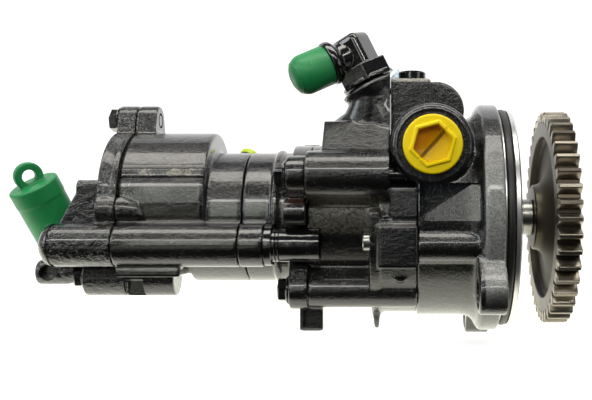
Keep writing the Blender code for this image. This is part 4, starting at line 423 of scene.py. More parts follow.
def cut_away(obj, tools):
    """Machines an object with a bmesh of cutters, which may overlap: each closed skin cuts alone."""
    bmesh.ops.scale(tools, vec=(mm, mm, mm), verts=tools.verts)
    kit = bpy.data.collections.new("cutters")
    left = set(tools.verts)
    while left:
        skin = {left.pop()}
        border = set(skin)
        while border:
            border = {edge.other_vert(v) for v in border for edge in v.link_edges} - skin
            skin |= border
        left -= skin
        order = {v: i for i, v in enumerate(skin)}
        faces = [[order[v] for v in face.verts] for face in tools.faces if face.verts[0] in order]
        mesh = bpy.data.meshes.new("cutter")
        mesh.from_pydata([v.co for v in order], [], faces)
        kit.objects.link(bpy.data.objects.new("cutter", mesh))
    tools.free()
    modifier = obj.modifiers.new("machined", "BOOLEAN")
    modifier.operation = "DIFFERENCE"
    modifier.solver = "MANIFOLD"
    modifier.operand_type = "COLLECTION"
    modifier.collection = kit
    applied(obj)
    for cutter in list(kit.objects):
        bpy.data.objects.remove(cutter)
    bpy.data.collections.remove(kit)


def soften(obj, passes):
    smooth = obj.modifiers.new("soften", "SMOOTH")
    smooth.factor = 0.5
    smooth.iterations = passes


def melted(name, shells, voxel, passes):
    """One skin out of overlapping ones, softened at its corners."""
    obj = to_object(name, shells)
    melt = obj.modifiers.new("melt", "REMESH")
    melt.mode = "VOXEL"
    melt.voxel_size = voxel * mm
    soften(obj, passes)
    return applied(obj)


def dress(obj, body, surface, stands_for=(), sharp=40):
    """Shades a finished piece, gives it its material and hangs it on its body."""
    obj.data.materials.clear()
    obj.data.materials.append(surface.material)
    obj.data.shade_smooth()
    obj.data.set_sharp_from_angle(angle=math.radians(sharp))
    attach(obj, body)
    if stands_for:
        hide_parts(*stands_for)


def polar(radius, degrees):
    """Y and Z at an angle that starts at the camera's side and turns up."""
    return -radius * math.cos(math.radians(degrees)), radius * math.sin(math.radians(degrees))


# The front casting carries the flange, three ears, the plugged pressure port and the valve's
# square tower. Sand cast, machined on its faces and bores, then sprayed black. It bolts to the
# engine through the ears.
FRONT_LEFT = -50
FLANGE_RADIUS = 72
FRONT_RADIUS = 62.3
REGISTER_RADIUS = 52
CARTRIDGE_BORE = 44
SEAL_BORE = 23.8
EAR_ANGLES = (-31, -122, 150)
EAR_CIRCLE = 80
PORT_X = -41.4
PORT_Z = 43.1
PORT_BORE = 13.5
SPOT_FACE_Y = -57.2
VALVE_X = -52.9
VALVE_Y = -15
VALVE_BORE = 7.6
FIT = 0.3  # the gap between a bore or a face and what sits in it
shells = bmesh.new()
lathe(shells, [(FRONT_LEFT, 20), (0, 20), (0, FLANGE_RADIUS - 0.7), (-0.7, FLANGE_RADIUS),
               (-10.5, FLANGE_RADIUS), (-13, 69.4), (-14.2, 66.4), (-16, 64.2), (-19, 62.8),
               (-24, FRONT_RADIUS), (FRONT_LEFT, FRONT_RADIUS)])
for degrees in EAR_ANGLES:
    outer = polar(EAR_CIRCLE, degrees)
    stretched(shells, bar(-16, 0, *polar(EAR_CIRCLE * 0.65, degrees), 18), ring((-15, *outer), AXIS_X, 12.9),
              ring((-16, *outer), AXIS_X, 11.6), ring((0, *outer), AXIS_X, 13))
along_x(shells, FRONT_LEFT, -12, -56.5, -15.8, 9.5)
lathe(shells, [(60, 22.2), (57.6, 24.4), (15, 24.4), (15, 0), (60, 0)], (PORT_X, 0, PORT_Z), -AXIS_Y)
drum(shells, (-37.7, -12, 68), (-37.7, 30, 68), 18)
stretched(shells, corners((-66.2, -26.6, 44), (-41.3, -3.4, 84.6)),
          corners((-65.4, -25.7, 84), (-42.2, -4.3, 86.3)))
front = melted("flange_casting", shells, 0.9, 6)
tools = bmesh.new()
block(tools, (-140, -90, -100), (FRONT_LEFT, 90, 2))
block(tools, (-90, -90, 18), (-66, 90, 100))
along_x(tools, -90, FRONT_LEFT, 0, 0, REGISTER_RADIUS + FIT)
# A sloped plane and a triangular recess leave the gusset between the port's boss and the flange.
gusset = [(-14, -63, -1), (-49, -53.5, -1), (-49, -48.7, 21), (-14, -58.2, 21)]
stretched(tools, [Vector(p) for p in gusset], [Vector((x, -90, z)) for x, y, z in gusset])
stretched(tools, [Vector((x, y, z)) for y in (-90, -47) for x, z in ((-49, 0.5), (-49, 21), (-17, 21))])
along_x(tools, 0, 5, 0, 0, 110)
drum(tools, (PORT_X, -70, PORT_Z), (PORT_X, SPOT_FACE_Y, PORT_Z), 20.8, segments=128)
drum(tools, (PORT_X, -70, PORT_Z), (PORT_X, -44, PORT_Z), PORT_BORE, segments=64)
along_x(tools, -90, -20.1, 0, 0, CARTRIDGE_BORE)
along_x(tools, -40, 5, 0, 0, SEAL_BORE)
drum(tools, (VALVE_X, VALVE_Y, 54), (VALVE_X, VALVE_Y, 95), VALVE_BORE, segments=64)
for degrees in EAR_ANGLES:
    outer = polar(EAR_CIRCLE, degrees)
    along_x(tools, -20, 5, *outer, 5.5, segments=64)
    along_x(tools, -20, -15.4, *outer, 9.8, segments=64)
cut_away(front, tools)

paint = black_paint("front_casting_paint", worn=[((-66, -28, 84.5), (-40, -24, 87), 1, 0.55),
                                                 ((-67, -28, 30), (-65.4, -24, 84), 0.5, 0.6)])
patch = paint.noise(60, 3, 0.6)
speck = paint.noise(900, 3, 0.6)
# The machined rim shows bare metal. Its band stops below the rim's top, and the black paint kept there is
# painted shade for the darker top.
rim = paint.radius.step((FLANGE_RADIUS - 1.6) * mm, (FLANGE_RADIUS - 0.8) * mm)
bare_where_lit = (rim * paint.x.step(-13.2 * mm, -12.2 * mm)
        * (paint.z + 8 * mm * patch).step(47 * mm, 38 * mm)
        * (paint.z + 10 * mm * patch).step(-46 * mm, -30 * mm) * paint.y.step(0, -10 * mm))
metal = paint.blend(speck.step(0.3, 0.7), (0.13, 0.132, 0.13), (0.3, 0.305, 0.29))
painted = paint.shader.inputs["Base Color"].links[0].from_socket
paint.set(Base_Color=paint.blend(bare_where_lit, Signal(paint.tree, painted), metal),
          Roughness=0.2 + 0.3 * bare_where_lit + 0.12 * speck, Metallic=0.3 * bare_where_lit)
dress(front, "housing", paint, ["flange_housing"])

# The pilot that centres the pump in the engine: turned bright, with a groove for its O-ring.
turning = Surface("turned_aluminium")
lay = turning.noise(2600, 2, 0.4, stretch=(1, 0.02, 0.02))
cloud = turning.noise(70, 3, 0.5)
turning.set(Base_Color=turning.blend(cloud, (0.62, 0.62, 0.6), (0.84, 0.84, 0.82)), Metallic=0.9,
            Roughness=0.24 + 0.14 * cloud)
turning.bump(lay, 0.2, 0.05 * mm)
PILOT_RADIUS = 68.5
GROOVE_RADIUS = 64.5
pilot = bmesh.new()
lathe(pilot, [(-0.3, SEAL_BORE), (9.5, SEAL_BORE), (9.5, PILOT_RADIUS - 1), (8.6, PILOT_RADIUS),
              (6.4, PILOT_RADIUS), (6.3, GROOVE_RADIUS), (0.9, GROOVE_RADIUS), (0.8, PILOT_RADIUS),
              (-0.3, PILOT_RADIUS)], segments=192)
dress(to_object("pilot_spigot", pilot), "housing", turning, sharp=30)

# The O-ring in that groove: black rubber, fat and slightly flattened, with a soft sheen.
rubber = Surface("black_rubber")
dust = rubber.noise(420, 3, 0.6)
base = rubber.blend(dust, (0.006, 0.006, 0.006), (0.018, 0.016, 0.015))
rubber.set(Base_Color=base, Roughness=0.3 + 0.25 * dust)
rubber.bump(dust, 0.1, 0.1 * mm)
band = bmesh.new()
section = []
for i in range(20):
    angle = 2 * math.pi * i / 20
    squeeze = math.copysign(abs(math.cos(angle)) ** 0.75, math.cos(angle))
    section.append((3.55 + 2.55 * squeeze, GROOVE_RADIUS + 2.35 + 2.2 * math.sin(angle)))
lathe(band, section, segments=192)
dress(to_object("pilot_seal_ring", band), "housing", rubber, ["pilot_o_ring"], sharp=60)

# The middle casting holds the vane pump's back, its four bolt barrels and the suction neck, with
# a slanted block that ties them together, a gallery block at the joint and a thin web below.
# Cast and painted like the front, and clamped to it by the four long bolts.
MIDDLE_LEFT = -115.3
MIDDLE_RIGHT = -50.3
SHOULDER_X = -66.3
BOLT_ANGLES = {"near_upper": 27.5, "near_lower": -51.8, "far_upper": 137, "far_lower": -137}
BOLT_CIRCLE = 55.5
BOLTS = {name: polar(BOLT_CIRCLE, degrees) for name, degrees in BOLT_ANGLES.items()}
SIDE_TUBE = (-45, -15.8)
TUBE_RADIUS = 13
TUBE_BORE = 10.2
LEAN = math.radians(26.6)
UP = Vector((-math.sin(LEAN), 0, math.cos(LEAN)))
SUCTION = Vector((-79.5, -20, 83.8))
shells = bmesh.new()
along_x(shells, MIDDLE_LEFT, -71, 0, 0, 46)
along_x(shells, -73, MIDDLE_RIGHT, 0, 0, REGISTER_RADIUS)
low_half = [p for x in (-76, MIDDLE_RIGHT) for p in ring((x, 0, 0), AXIS_X, 60.8, 96) if p.z < 0.1]
stretched(shells, low_half)
for name, (y, z) in BOLTS.items():
    right, radius = (SHOULDER_X, 14.5) if name == "near_upper" else (MIDDLE_RIGHT, 10.5)
    stretched(shells, bar(MIDDLE_LEFT, right, y, z, radius), bar(MIDDLE_LEFT, right, y / 2, z / 2, radius))
stretched(shells, corners((-106.6, -32, 56), (SHOULDER_X, 26, 59.1)),
          corners((-106.6, -57, 33), (SHOULDER_X, 34, 34)), corners((-106.6, -20, 0), (SHOULDER_X, 20, 1)))
# The suction neck: a collar for the elbow, and a flare into the casting below it.
lathe(shells, [(-0.3, 0), (-0.3, 14.8), (-0.9, 16.6), (-2.4, 19), (-4, 19), (-6, 17), (-9, 15.4), (-16, 15),
               (-24, 16), (-56, 16), (-56, 0)], SUCTION, UP)
stretched(shells, ring(SUCTION - UP * 5, UP, 15.8), ring((-83.5, -20, 61), AXIS_Z, 12.8),
          ring((-83, -20, 50), AXIS_Z, 13))
stretched(shells, ring((-83.5, -17, 64), AXIS_Z, 13.4), ring((-86, -12.5, 58.6), AXIS_Z, 18.6))
# The gallery block with the boss beside it, then the web with its foot.
block(shells, (-72.8, -66, -28), (MIDDLE_RIGHT, -35, -3.6))
block(shells, (-65.8, -61, -15.8), (MIDDLE_RIGHT, -30, 18.2))
web = [p for x in (-78, -72) for p in ring((x, 0, 0), AXIS_X, 62, 96) if p.z < 8 and p.y < 20]
stretched(shells, web, corners((-78, -10, -10), (-72, 10, 8)))
stretched(shells, bar(-76.5, -73.5, -10, -62.8, 7.5), corners((-79, -19, -46), (-71.5, -1, -36)))
stretched(shells, corners((MIDDLE_LEFT, -31, -60), (-107.3, -17, -40)))
stretched(shells, corners((-121.6, -31, -68.6), (-107.3, -17, -54)),
          corners((-120, -29.5, -69.3), (-108.5, -18.5, -60)))
drum(shells, (-60, -50.3, -33.8), (-60, -34.3, -33.8), 4)
middle = melted("main_casting", shells, 0.95, 5)
tools = bmesh.new()
block(tools, (SHOULDER_X, -90, 18.4), (0, -0.5, 95))
block(tools, (MIDDLE_RIGHT, -90, -90), (-40, 90, 95))
along_x(tools, -135, -107.7, *SIDE_TUBE, TUBE_BORE)
block(tools, (-119.4, -33, -66.6), (-110.2, -27, -56.6))
along_x(tools, -120, -40, 0, 0, 9.7)
cut_away(middle, tools)
# Partly dust, partly painted sheen: a lighter olive, grainy patch on the core below the near bolt barrel,
# where its top catches light.
paint = black_paint("middle_casting_paint", 1.3, ridges=[((-66, -64, 2), (-50, -54, 16), 2)],
                    stains_and_sheen=[((-112, -56, -6), (-72, -40, 12), 5, (0.065, 0.062, 0.04))])
dress(middle, "housing", paint, ["main_housing"])

# The adapter: a bolting plate with four lugs and a short barrel, cast in one, with the stub of
# the side tube. Its left face meets the second pump in a thin, wavy paint line.
ADAPTER_LEFT = -155
STUB_RIGHT = -140.7
PLATE_LEFT = -127
PLATE_RIGHT = -115.6
PLATE_RADIUS = 46
BARREL_RADIUS = 41.2
shells = bmesh.new()
lathe(shells, [(ADAPTER_LEFT, 0), (ADAPTER_LEFT, BARREL_RADIUS - 0.8), (ADAPTER_LEFT + 0.6, BARREL_RADIUS),
               (-137.9, BARREL_RADIUS), (-137.4, 43), (-134.1, 43), (-133.6, 41.4), (-127.4, 41.4),
               (PLATE_LEFT, PLATE_RADIUS), (PLATE_RIGHT, PLATE_RADIUS), (PLATE_RIGHT, 0)])
for y, z in BOLTS.values():
    stretched(shells, ring((PLATE_LEFT, y, z), AXIS_X, 10.9), bar(-126, PLATE_RIGHT, y, z, 11.5),
              bar(PLATE_LEFT, PLATE_RIGHT, y * 0.45, z * 0.45, 17.2))
along_x(shells, -128.6, PLATE_RIGHT, -47.5, 3.7, 8.6)
along_x(shells, ADAPTER_LEFT, STUB_RIGHT, *SIDE_TUBE, TUBE_RADIUS)
block(shells, (ADAPTER_LEFT, -45, -21.8), (STUB_RIGHT, -20, -5.8))
adapter = melted("adapter_casting", shells, 0.8, 4)
tools = bmesh.new()
along_x(tools, STUB_RIGHT, -110, *SIDE_TUBE, 12.5)
along_x(tools, -145.3, -135, *SIDE_TUBE, TUBE_BORE)
along_x(tools, -160, -110, 0, 0, 14)
for y, z in BOLTS.values():
    along_x(tools, -135, -126.8, y, z, 9.2, segments=48)
cut_away(adapter, tools)
rust = ((-126, -60, 9), (-118, -50, 11.5), 1.5, (0.06, 0.022, 0.015))
# Painted sheen: a brownish tint over the adapter's top, where it catches light. The rust spot is real.
painted_top_sheen = ((-156, -40, 37), (-116, 40, 60), 3, (0.03, 0.014, 0.01))
paint = black_paint("adapter_paint", 0.9, stains_and_sheen=[rust, painted_top_sheen])
dress(adapter, "housing", paint, ["adapter_housing"])

# The second pump's body: a fat drum that steps down to the adapter, with the side tube, the
# bolt ears and a rough parting ridge where the two halves of its mould met.
BODY_LEFT = -228.7
BODY_RIGHT = -155.3
WEB_RIGHT = -178
DRUM_Z = 9
DRUM_RADIUS = 45
LOWER_LUG = 12
TOP_EAR = (4, 62.5)
FAR_EAR = (48, -12)
LOWER_BOLT = (-20, -36.5)


def rear_ears(into, left, right):
    """The top and far ears, which the body and its cover share."""
    stretched(into, bar(left, right, *TOP_EAR, 9.5), corners((left, -10.5, 46), (right, 18.5, 48)))
    stretched(into, bar(left, right, *FAR_EAR, 10), bar(left, right, FAR_EAR[0] / 2, FAR_EAR[1] / 2, 14))


shells = bmesh.new()
lathe(shells, [(BODY_LEFT, 0), (BODY_LEFT, DRUM_RADIUS), (-178.6, DRUM_RADIUS), (-177.4, 44.4), (-177, 43.2),
               (-177, 0)], (0, 0, DRUM_Z))
lathe(shells, [(-190, 0), (-190, BARREL_RADIUS), (BODY_RIGHT - 0.6, BARREL_RADIUS),
               (BODY_RIGHT, BARREL_RADIUS - 0.8), (BODY_RIGHT, 0)])
along_x(shells, BODY_LEFT, BODY_RIGHT, *SIDE_TUBE, TUBE_RADIUS)
stretched(shells, corners((BODY_LEFT, -47, -15.8), (WEB_RIGHT, -20, -7)),
          corners((BODY_LEFT, -44, -7), (WEB_RIGHT, -20, -2)))
stretched(shells, ring((BODY_LEFT, -40, 5), AXIS_X, 9.5), ring((-216, -38, 4), AXIS_X, 9),
          ring((-211, -36, -2), AXIS_X, 7))
block(shells, (-180, -45, -21.8), (BODY_RIGHT, -20, -5.8))
rear_ears(shells, BODY_LEFT, -216)
along_x(shells, BODY_LEFT, -198.6, *LOWER_BOLT, LOWER_LUG)
# The parting ridge, along the drum's near side.
stretched(shells, corners((BODY_LEFT, -41.4, 26.4), (WEB_RIGHT, -32, 29.2)),
          corners((BODY_LEFT, -39, 24.8), (WEB_RIGHT, -32, 30.8)))
block(shells, (-228, -50, -34.5), (-190, -20, -29.5))
port_axis = Vector((0.33, 0.62, 0.71)).normalized()
port_base = Vector((-168.5, *polar(32.45, 123.7)))
drum(shells, port_base, port_base + port_axis * 16, 7.8)
pump_body = melted("rear_body_casting", shells, 0.9, 5)
tools = bmesh.new()
block(tools, (-240, -60, -60), (-217, -23, -35.5))
along_x(tools, -218, -213, *TOP_EAR, 4.9, segments=32)
# A crescent gap opens between the drum and the cover on their near side.
lathe(tools, [(-232, 41.5), (-232, 46.4), (-226.6, 46.4), (-227, 43), (-228.5, 41.5)], (0, 0.6, 9.4))
cut_away(pump_body, tools)
paint = black_paint("rear_body_paint", 1.1, lumps=0.25, worn=[((-228, -46, 26), (-178, -34, 29.5), 1.2, 0.4)],
                    ridges=[((-229, -46, 25.5), (-178, -30, 30), 1.5), ((-195, -50, 8), (-185, -40, 20), 5)])
dress(pump_body, "housing", paint, ["rear_pump_body"])

# The end cover closes the gear pump: a disc with the same ears, a domed tube with a clip
# groove, a stiffening web with a small lug, and the outlet's slanted boss with a lug below.
# Cast, and held by three bolts.
COVER_LEFT = -241
COVER_RIGHT = -229
LUG_FACE = -254.7
DOME_LEFT = -265
OUTLET = Vector((-273, -7, -17.6))
OUTLET_AXIS = Vector((-0.312, -0.407, 0.858)).normalized()
shells = bmesh.new()
along_x(shells, COVER_LEFT, COVER_RIGHT, 0, DRUM_Z, DRUM_RADIUS)
rear_ears(shells, COVER_LEFT, COVER_RIGHT)
dome = []
for angle in map(math.radians, range(0, 90, 15)):
    dome.append((DOME_LEFT - 9 * math.sin(angle), TUBE_RADIUS * math.cos(angle)))
lathe(shells, [(COVER_RIGHT, 0), (COVER_RIGHT, TUBE_RADIUS), *dome, (DOME_LEFT - 9, 0)], (0, *SIDE_TUBE))
stretched(shells, corners((-233, -33.5, 18.5), (-232, -24.5, 22.5)),
          corners((-253.5, -33.5, 18.5), (-252, -24.5, 22.5)),
          corners((-270.5, -33.5, -9), (-269, -24.5, -8)), corners((-233, -33.5, -16), (-232, -24.5, -15)))
along_x(shells, -257.5, -239, -29, 18.5, 5)
block(shells, (COVER_LEFT, -47, -15.8), (COVER_RIGHT, -20, 2))
along_x(shells, COVER_LEFT, COVER_RIGHT, -40, 5, 9.5)
along_x(shells, -240.6, -239.2, 0, DRUM_Z, DRUM_RADIUS + 0.7)
along_x(shells, -232.4, -230.8, 0, DRUM_Z, DRUM_RADIUS + 0.7)
along_x(shells, LUG_FACE, COVER_RIGHT, *LOWER_BOLT, LOWER_LUG)
foot = OUTLET - OUTLET_AXIS * 18
drum(shells, foot, OUTLET - OUTLET_AXIS * 0.3, 15.5)
drum(shells, OUTLET - OUTLET_AXIS * 2, OUTLET + OUTLET_AXIS * 31.7, 12.4)
stretched(shells, ring(foot, OUTLET_AXIS, 13.3), ring(OUTLET - OUTLET_AXIS * 9, OUTLET_AXIS, 13.3),
          bar(-242, -233, -8, -18, 14))
stretched(shells, ring((-286, -18, -34), AXIS_X, 7), bar(-284.5, -268, -18, -34, 7.8),
          bar(-257, COVER_LEFT, -18, -29, 7.8))
cover = melted("rear_cover_casting", shells, 0.85, 5)
tools = bmesh.new()
block(tools, (COVER_RIGHT, -90, -70), (-220, 90, 90))
lathe(tools, [(-266, 11.8), (-264, 11.8), (-263.6, 14), (-266.4, 14)], (0, *SIDE_TUBE))
drum(tools, (-278, -27, -34), (-278, -19.8, -34), 5, segments=48)
along_x(tools, -262, LUG_FACE, *LOWER_BOLT, 9, segments=48)
along_x(tools, -250, COVER_LEFT, *TOP_EAR, 9, segments=48)
cut_away(cover, tools)
paint = black_paint("cover_paint", 0.6, lumps=1.0)
dress(cover, "housing", paint, ["rear_pump_cover"])

# The crossover sleeve: a turned steel pipe with a collar, pushed into both castings and painted
# over, so that it is smoother and glossier than they are.
smooth_paint = black_paint("smooth_paint", 0.12)
PIPE = TUBE_BORE - FIT
pipe = bmesh.new()
lathe(pipe, [(-145, 7.4), (-145, PIPE - 0.5), (-144.5, PIPE), (-140.4, PIPE), (-140.2, 12), (-139.8, 12.2),
             (-136, 12.2), (-135.5, 11.8), (-135.4, PIPE), (-134, PIPE), (-133.6, PIPE - 0.4), (-133.2, PIPE),
             (-132, PIPE), (-131.6, PIPE - 0.4), (-131.2, PIPE), (-108, PIPE), (-108, 7.4)], (0, *SIDE_TUBE))
dress(to_object("crossover_pipe", pipe), "housing", smooth_paint, ["crossover_sleeve"],
      sharp=25)

# Flange bolts: forged, with a chamfered hexagon on a round flange, painted with the castings.
bolt_paint = black_paint("bolt_paint", 0.5, worn=[((-300, -90, -90), (0, 90, 90), 1, 0.2)])


def flange_bolt(name, node, seat_x, seat, length):
    """A bolt whose head sits left of a face at seat_x, with its shank to the right."""
    bolt = bmesh.new()
    head = (seat_x - FIT, *seat)
    lathe(bolt, [(length, 0), (length, 3.4), (length - 0.6, 4), (0, 4), (0, 8.2), (-0.4, 8.6), (-0.9, 8.5),
                 (-1.7, 7.7), (-1.9, 0)], head, segments=64)
    lathe(bolt, [(-1.2, 0), (-1.2, 7.5), (-5.9, 7.5), (-6.7, 6.5), (-6.7, 0)], head, segments=6)
    lathe(bolt, [(-6.5, 0), (-6.5, 4.4), (-6.9, 4.1), (-6.9, 0)], head, segments=48)
    dress(to_object(name, bolt), "housing", bolt_paint, [node], sharp=28)


for name, seat in BOLTS.items():
    flange_bolt(f"bolt_{name}", f"housing_bolt_{name}", PLATE_LEFT, seat, 97.3)
flange_bolt("bolt_cover_top", "cover_bolt_top", COVER_LEFT, TOP_EAR, 25.3)
flange_bolt("bolt_cover_lower", "cover_bolt_lower", LUG_FACE, LOWER_BOLT, 36)
flange_bolt("bolt_cover_far", "cover_bolt_far", COVER_LEFT, FAR_EAR, 25.3)

# A short ground pin beside the gallery block, left bright.
bright = Surface("ground_steel")
streak = bright.noise(900, 2, 0.5, stretch=(0.05, 1, 1))
bright.set(Base_Color=bright.blend(streak, (0.3, 0.3, 0.27), (0.52, 0.51, 0.47)), Metallic=1.0,
           Roughness=0.22 + 0.16 * streak)
bright.bump(streak, 0.12, 0.04 * mm)
pin = bmesh.new()
lathe(pin, [(-82, 0), (-82, 4.7), (-81.3, 5.4), (-60.3, 5.4), (-60.3, 0)], (0, -55, -13.5), segments=64)
dress(to_object("bright_pin", pin), "housing", bright, ["gallery_pin"], sharp=30)

# The suction elbow: a forged hexagon foot, a rounded tower turned to look left, and a hose neck
# with a ring, all glossy black with crisp edges.
level = Vector((-UP.z, 0, UP.x))
yaw = math.radians(18)
branch = (level * math.cos(yaw) - AXIS_Y * math.sin(yaw)).normalized()
stand = Matrix(((-level.x, 0, UP.x, SUCTION.x), (-level.y, 1, UP.y, SUCTION.y),
                (-level.z, 0, UP.z, SUCTION.z), (0, 0, 0, 1)))
tee = SUCTION + UP * 20.8
shells = bmesh.new()
stretched(shells, hexagon(stand, 17.6, 30, (0.3, 11)))
drum(shells, SUCTION + UP * 0.2, SUCTION + UP * 2.2, 16.9)
turned = stand @ Matrix.Rotation(math.radians(-28), 4, "Z")
pillar = []
for cx in (-1, 1):
    for cy in (-1, 1):
        for lift, round_off in ((8, 4), (27.5, 4), (29.6, 3.4), (31, 2), (31.5, 0.4)):
            pillar += [turned @ p for p in ring((cx * 6.5, cy * 6.5, lift), AXIS_Z, round_off, 24)]
stretched(shells, pillar)
neck = tee + branch * 15
drum(shells, tee, neck + branch, 10.2)
lathe(shells, [(-3, 0), (-3, 10.5), (-1.6, 12.6), (0, 13.6), (2, 13.8), (3.6, 13.4), (4, 12.9), (4, 0)],
      neck, branch, 96)
drum(shells, neck + branch * 3, neck + branch * 21.7, 9.5)
drum(shells, SUCTION - UP * 12, SUCTION + UP, 10.5)
elbow = melted("suction_elbow", shells, 0.42, 4)
dress(elbow, "housing", smooth_paint, ["elbow_fitting"])

# Push-on shipping caps, moulded in green polythene: waxy, a little see-through and dusty.
green = Surface("green_polythene")
smear = green.noise(60, 4, 0.6)
scuff = green.noise(500, 3, 0.6)
marks = scuff.step(0.62, 0.75) * smear.step(0.5, 0.62)
base = green.blend(smear, (0.0045, 0.165, 0.045), (0.011, 0.285, 0.08))
green.set(Base_Color=green.blend(marks * 0.5, base, (0.25, 0.55, 0.4)), Roughness=0.3 + 0.3 * scuff,
          Subsurface_Weight=0.12, Subsurface_Radius=(0.4, 1.0, 0.5), Subsurface_Scale=1.5 * mm)
green.bump(smear, 0.15, 0.5 * mm)
mouth = neck + branch * 4.3
cap = bmesh.new()
lathe(cap, [(0, 9.9), (0.1, 12.3), (0.4, 12.5), *bow((14.8, 3.3), 9.2, 90, 0, 14), (24, 0), (21.6, 0),
            (21.6, 9.9)], mouth, branch, 96)
dress(to_object("suction_cap", cap), "housing", green, ["upper_port_cap"], sharp=60)

eye_axis = OUTLET_AXIS.cross(Vector((0.55, -0.83, 0))).cross(OUTLET_AXIS).normalized()
eye_side = OUTLET_AXIS.cross(eye_axis)
eye_centre = OUTLET + OUTLET_AXIS * 50.4
shells = bmesh.new()
lathe(shells, [(0, 12.9), (0, 14.5), (0.3, 14.8), (34.2, 14.9), (34.6, 15.2), (44.2, 15.2), (45, 14.3),
               (45, 0), (42, 0), (42, 12.9)], OUTLET, OUTLET_AXIS, 96)
lathe(shells, [(-2.5, 4.2), (-2.5, 8.0), (-1.9, 8.6), (1.9, 8.6), (2.5, 8.0), (2.5, 4.2)],
      eye_centre, eye_axis, 64)
seat = Matrix(((eye_side.x, OUTLET_AXIS.x, eye_axis.x, eye_centre.x),
               (eye_side.y, OUTLET_AXIS.y, eye_axis.y, eye_centre.y),
               (eye_side.z, OUTLET_AXIS.z, eye_axis.z, eye_centre.z), (0, 0, 0, 1)))
block(shells, (-7.4, -6, -2.4), (7.4, -4.6, 2.4), seat)
dress(melted("outlet_cap", shells, 0.56, 2), "housing", green, ["left_port_cap"], sharp=60)

# The pressure port's plug: yellow plastic with a raised hexagon rim, a hollow inside it and a
# moulded slot across. Shade is painted into the hollow, dark orange at its upper left going to
# yellow at its lower right, and dark brown in the slot. It has black scuffs.
yellow = Surface("yellow_polythene")
smear = yellow.noise(90, 4, 0.6)
depth = yellow.y.step(-65.2 * mm, -62.5 * mm)
from_x = yellow.x - PORT_X * mm
from_z = yellow.z - PORT_Z * mm
SLOT_ANGLE = math.radians(48)
off_slot = (from_x * math.sin(SLOT_ANGLE) - from_z * math.cos(SLOT_ANGLE)).math("ABSOLUTE")
# Painted shade: the slot dark brown, and the hollow dark orange at its upper left going to yellow at its
# lower right.
groove = off_slot.step(1.3 * mm, 0.8 * mm) * depth
across = from_x - from_z
hollow_shade = yellow.blend(across.step(-9 * mm, 10 * mm), (0.5, 0.19, 0.0), (0.86, 0.58, 0.0))
base = yellow.blend(depth, (0.93, 0.7, 0.0), hollow_shade)
base = yellow.blend(groove, base, (0.26, 0.14, 0.01))
base = yellow.blend(smear.step(0.6, 0.75) * 0.3, base, (0.45, 0.33, 0.01))
yellow.set(Base_Color=base, Roughness=0.3 + 0.2 * smear, Specular_IOR_Level=0.3)
seat = (PORT_X, SPOT_FACE_Y - 0.5, PORT_Z)
SPIGOT = PORT_BORE - FIT
shells = bmesh.new()
lathe(shells, [(-11, 0), (-11, SPIGOT), (0, SPIGOT), (0, 17.3), (6.5, 17.3), (7.2, 17), (7.5, 16.3),
               (7.5, 0)], seat, -AXIS_Y)
facing = Matrix.Translation(seat) @ Matrix.Rotation(math.radians(90), 4, "X")
stretched(shells, hexagon(facing, 13.8, 15, (7, 9.1)))
plug = melted("port_plug", shells, 0.34, 0)
tools = bmesh.new()
stretched(tools, hexagon(facing, 12.1, 15, (2.6, 12)))
slot_turn = facing @ Matrix.Rotation(SLOT_ANGLE, 4, "Z")
block(tools, (-9.6, -0.9, 1.4), (9.6, 0.9, 6), slot_turn)
block(tools, (-16, -0.9, 7.55), (16, 0.9, 12), slot_turn)
cut_away(plug, tools)
soften(plug, 1)
applied(plug)
dress(plug, "housing", yellow, ["pressure_port_plug"], sharp=60)

# The drive gear: 43 involute teeth, hobbed and ground, on a dished web that stays as forged.
# Oily brown steel, brighter on the flanks.
TEETH = 43
MODULE = 3.0
PRESSURE_ANGLE = math.radians(20)
GEAR_LEFT = 30.5
GEAR_RIGHT = 44.5
WEB_LEFT = 35.5
RIM_WALL = 52.3


def tooth_ring():
    """(angle, radius) round the whole gear, finer than the CAD's, with a fillet at each root."""
    pitch = MODULE * TEETH / 2
    base = pitch * math.cos(PRESSURE_ANGLE)
    involute_at_pitch = math.tan(PRESSURE_ANGLE) - PRESSURE_ANGLE
    half = (math.pi * MODULE / 2 - 0.15) / (2 * pitch)
    flank = []
    for i in range(7):
        low = max(base, pitch - 2.6)
        radius = low + (pitch + MODULE - 0.25 - low) * i / 6
        slant = math.acos(min(base / radius, 1))
        flank.append((half + involute_at_pitch - (math.tan(slant) - slant), radius))
    root = pitch - 1.25 * MODULE
    foot = flank[0][0]
    left = [(foot + 0.011, root), (foot + 0.004, root + 0.35), *flank, (flank[-1][0] - 0.004, pitch + MODULE)]
    points = []
    for tooth in range(TEETH):
        middle = 2 * math.pi * tooth / TEETH
        points += [(middle - a, r) for a, r in left] + [(middle + a, r) for a, r in reversed(left)]
    return points


outline = tooth_ring()
gear = bmesh.new()
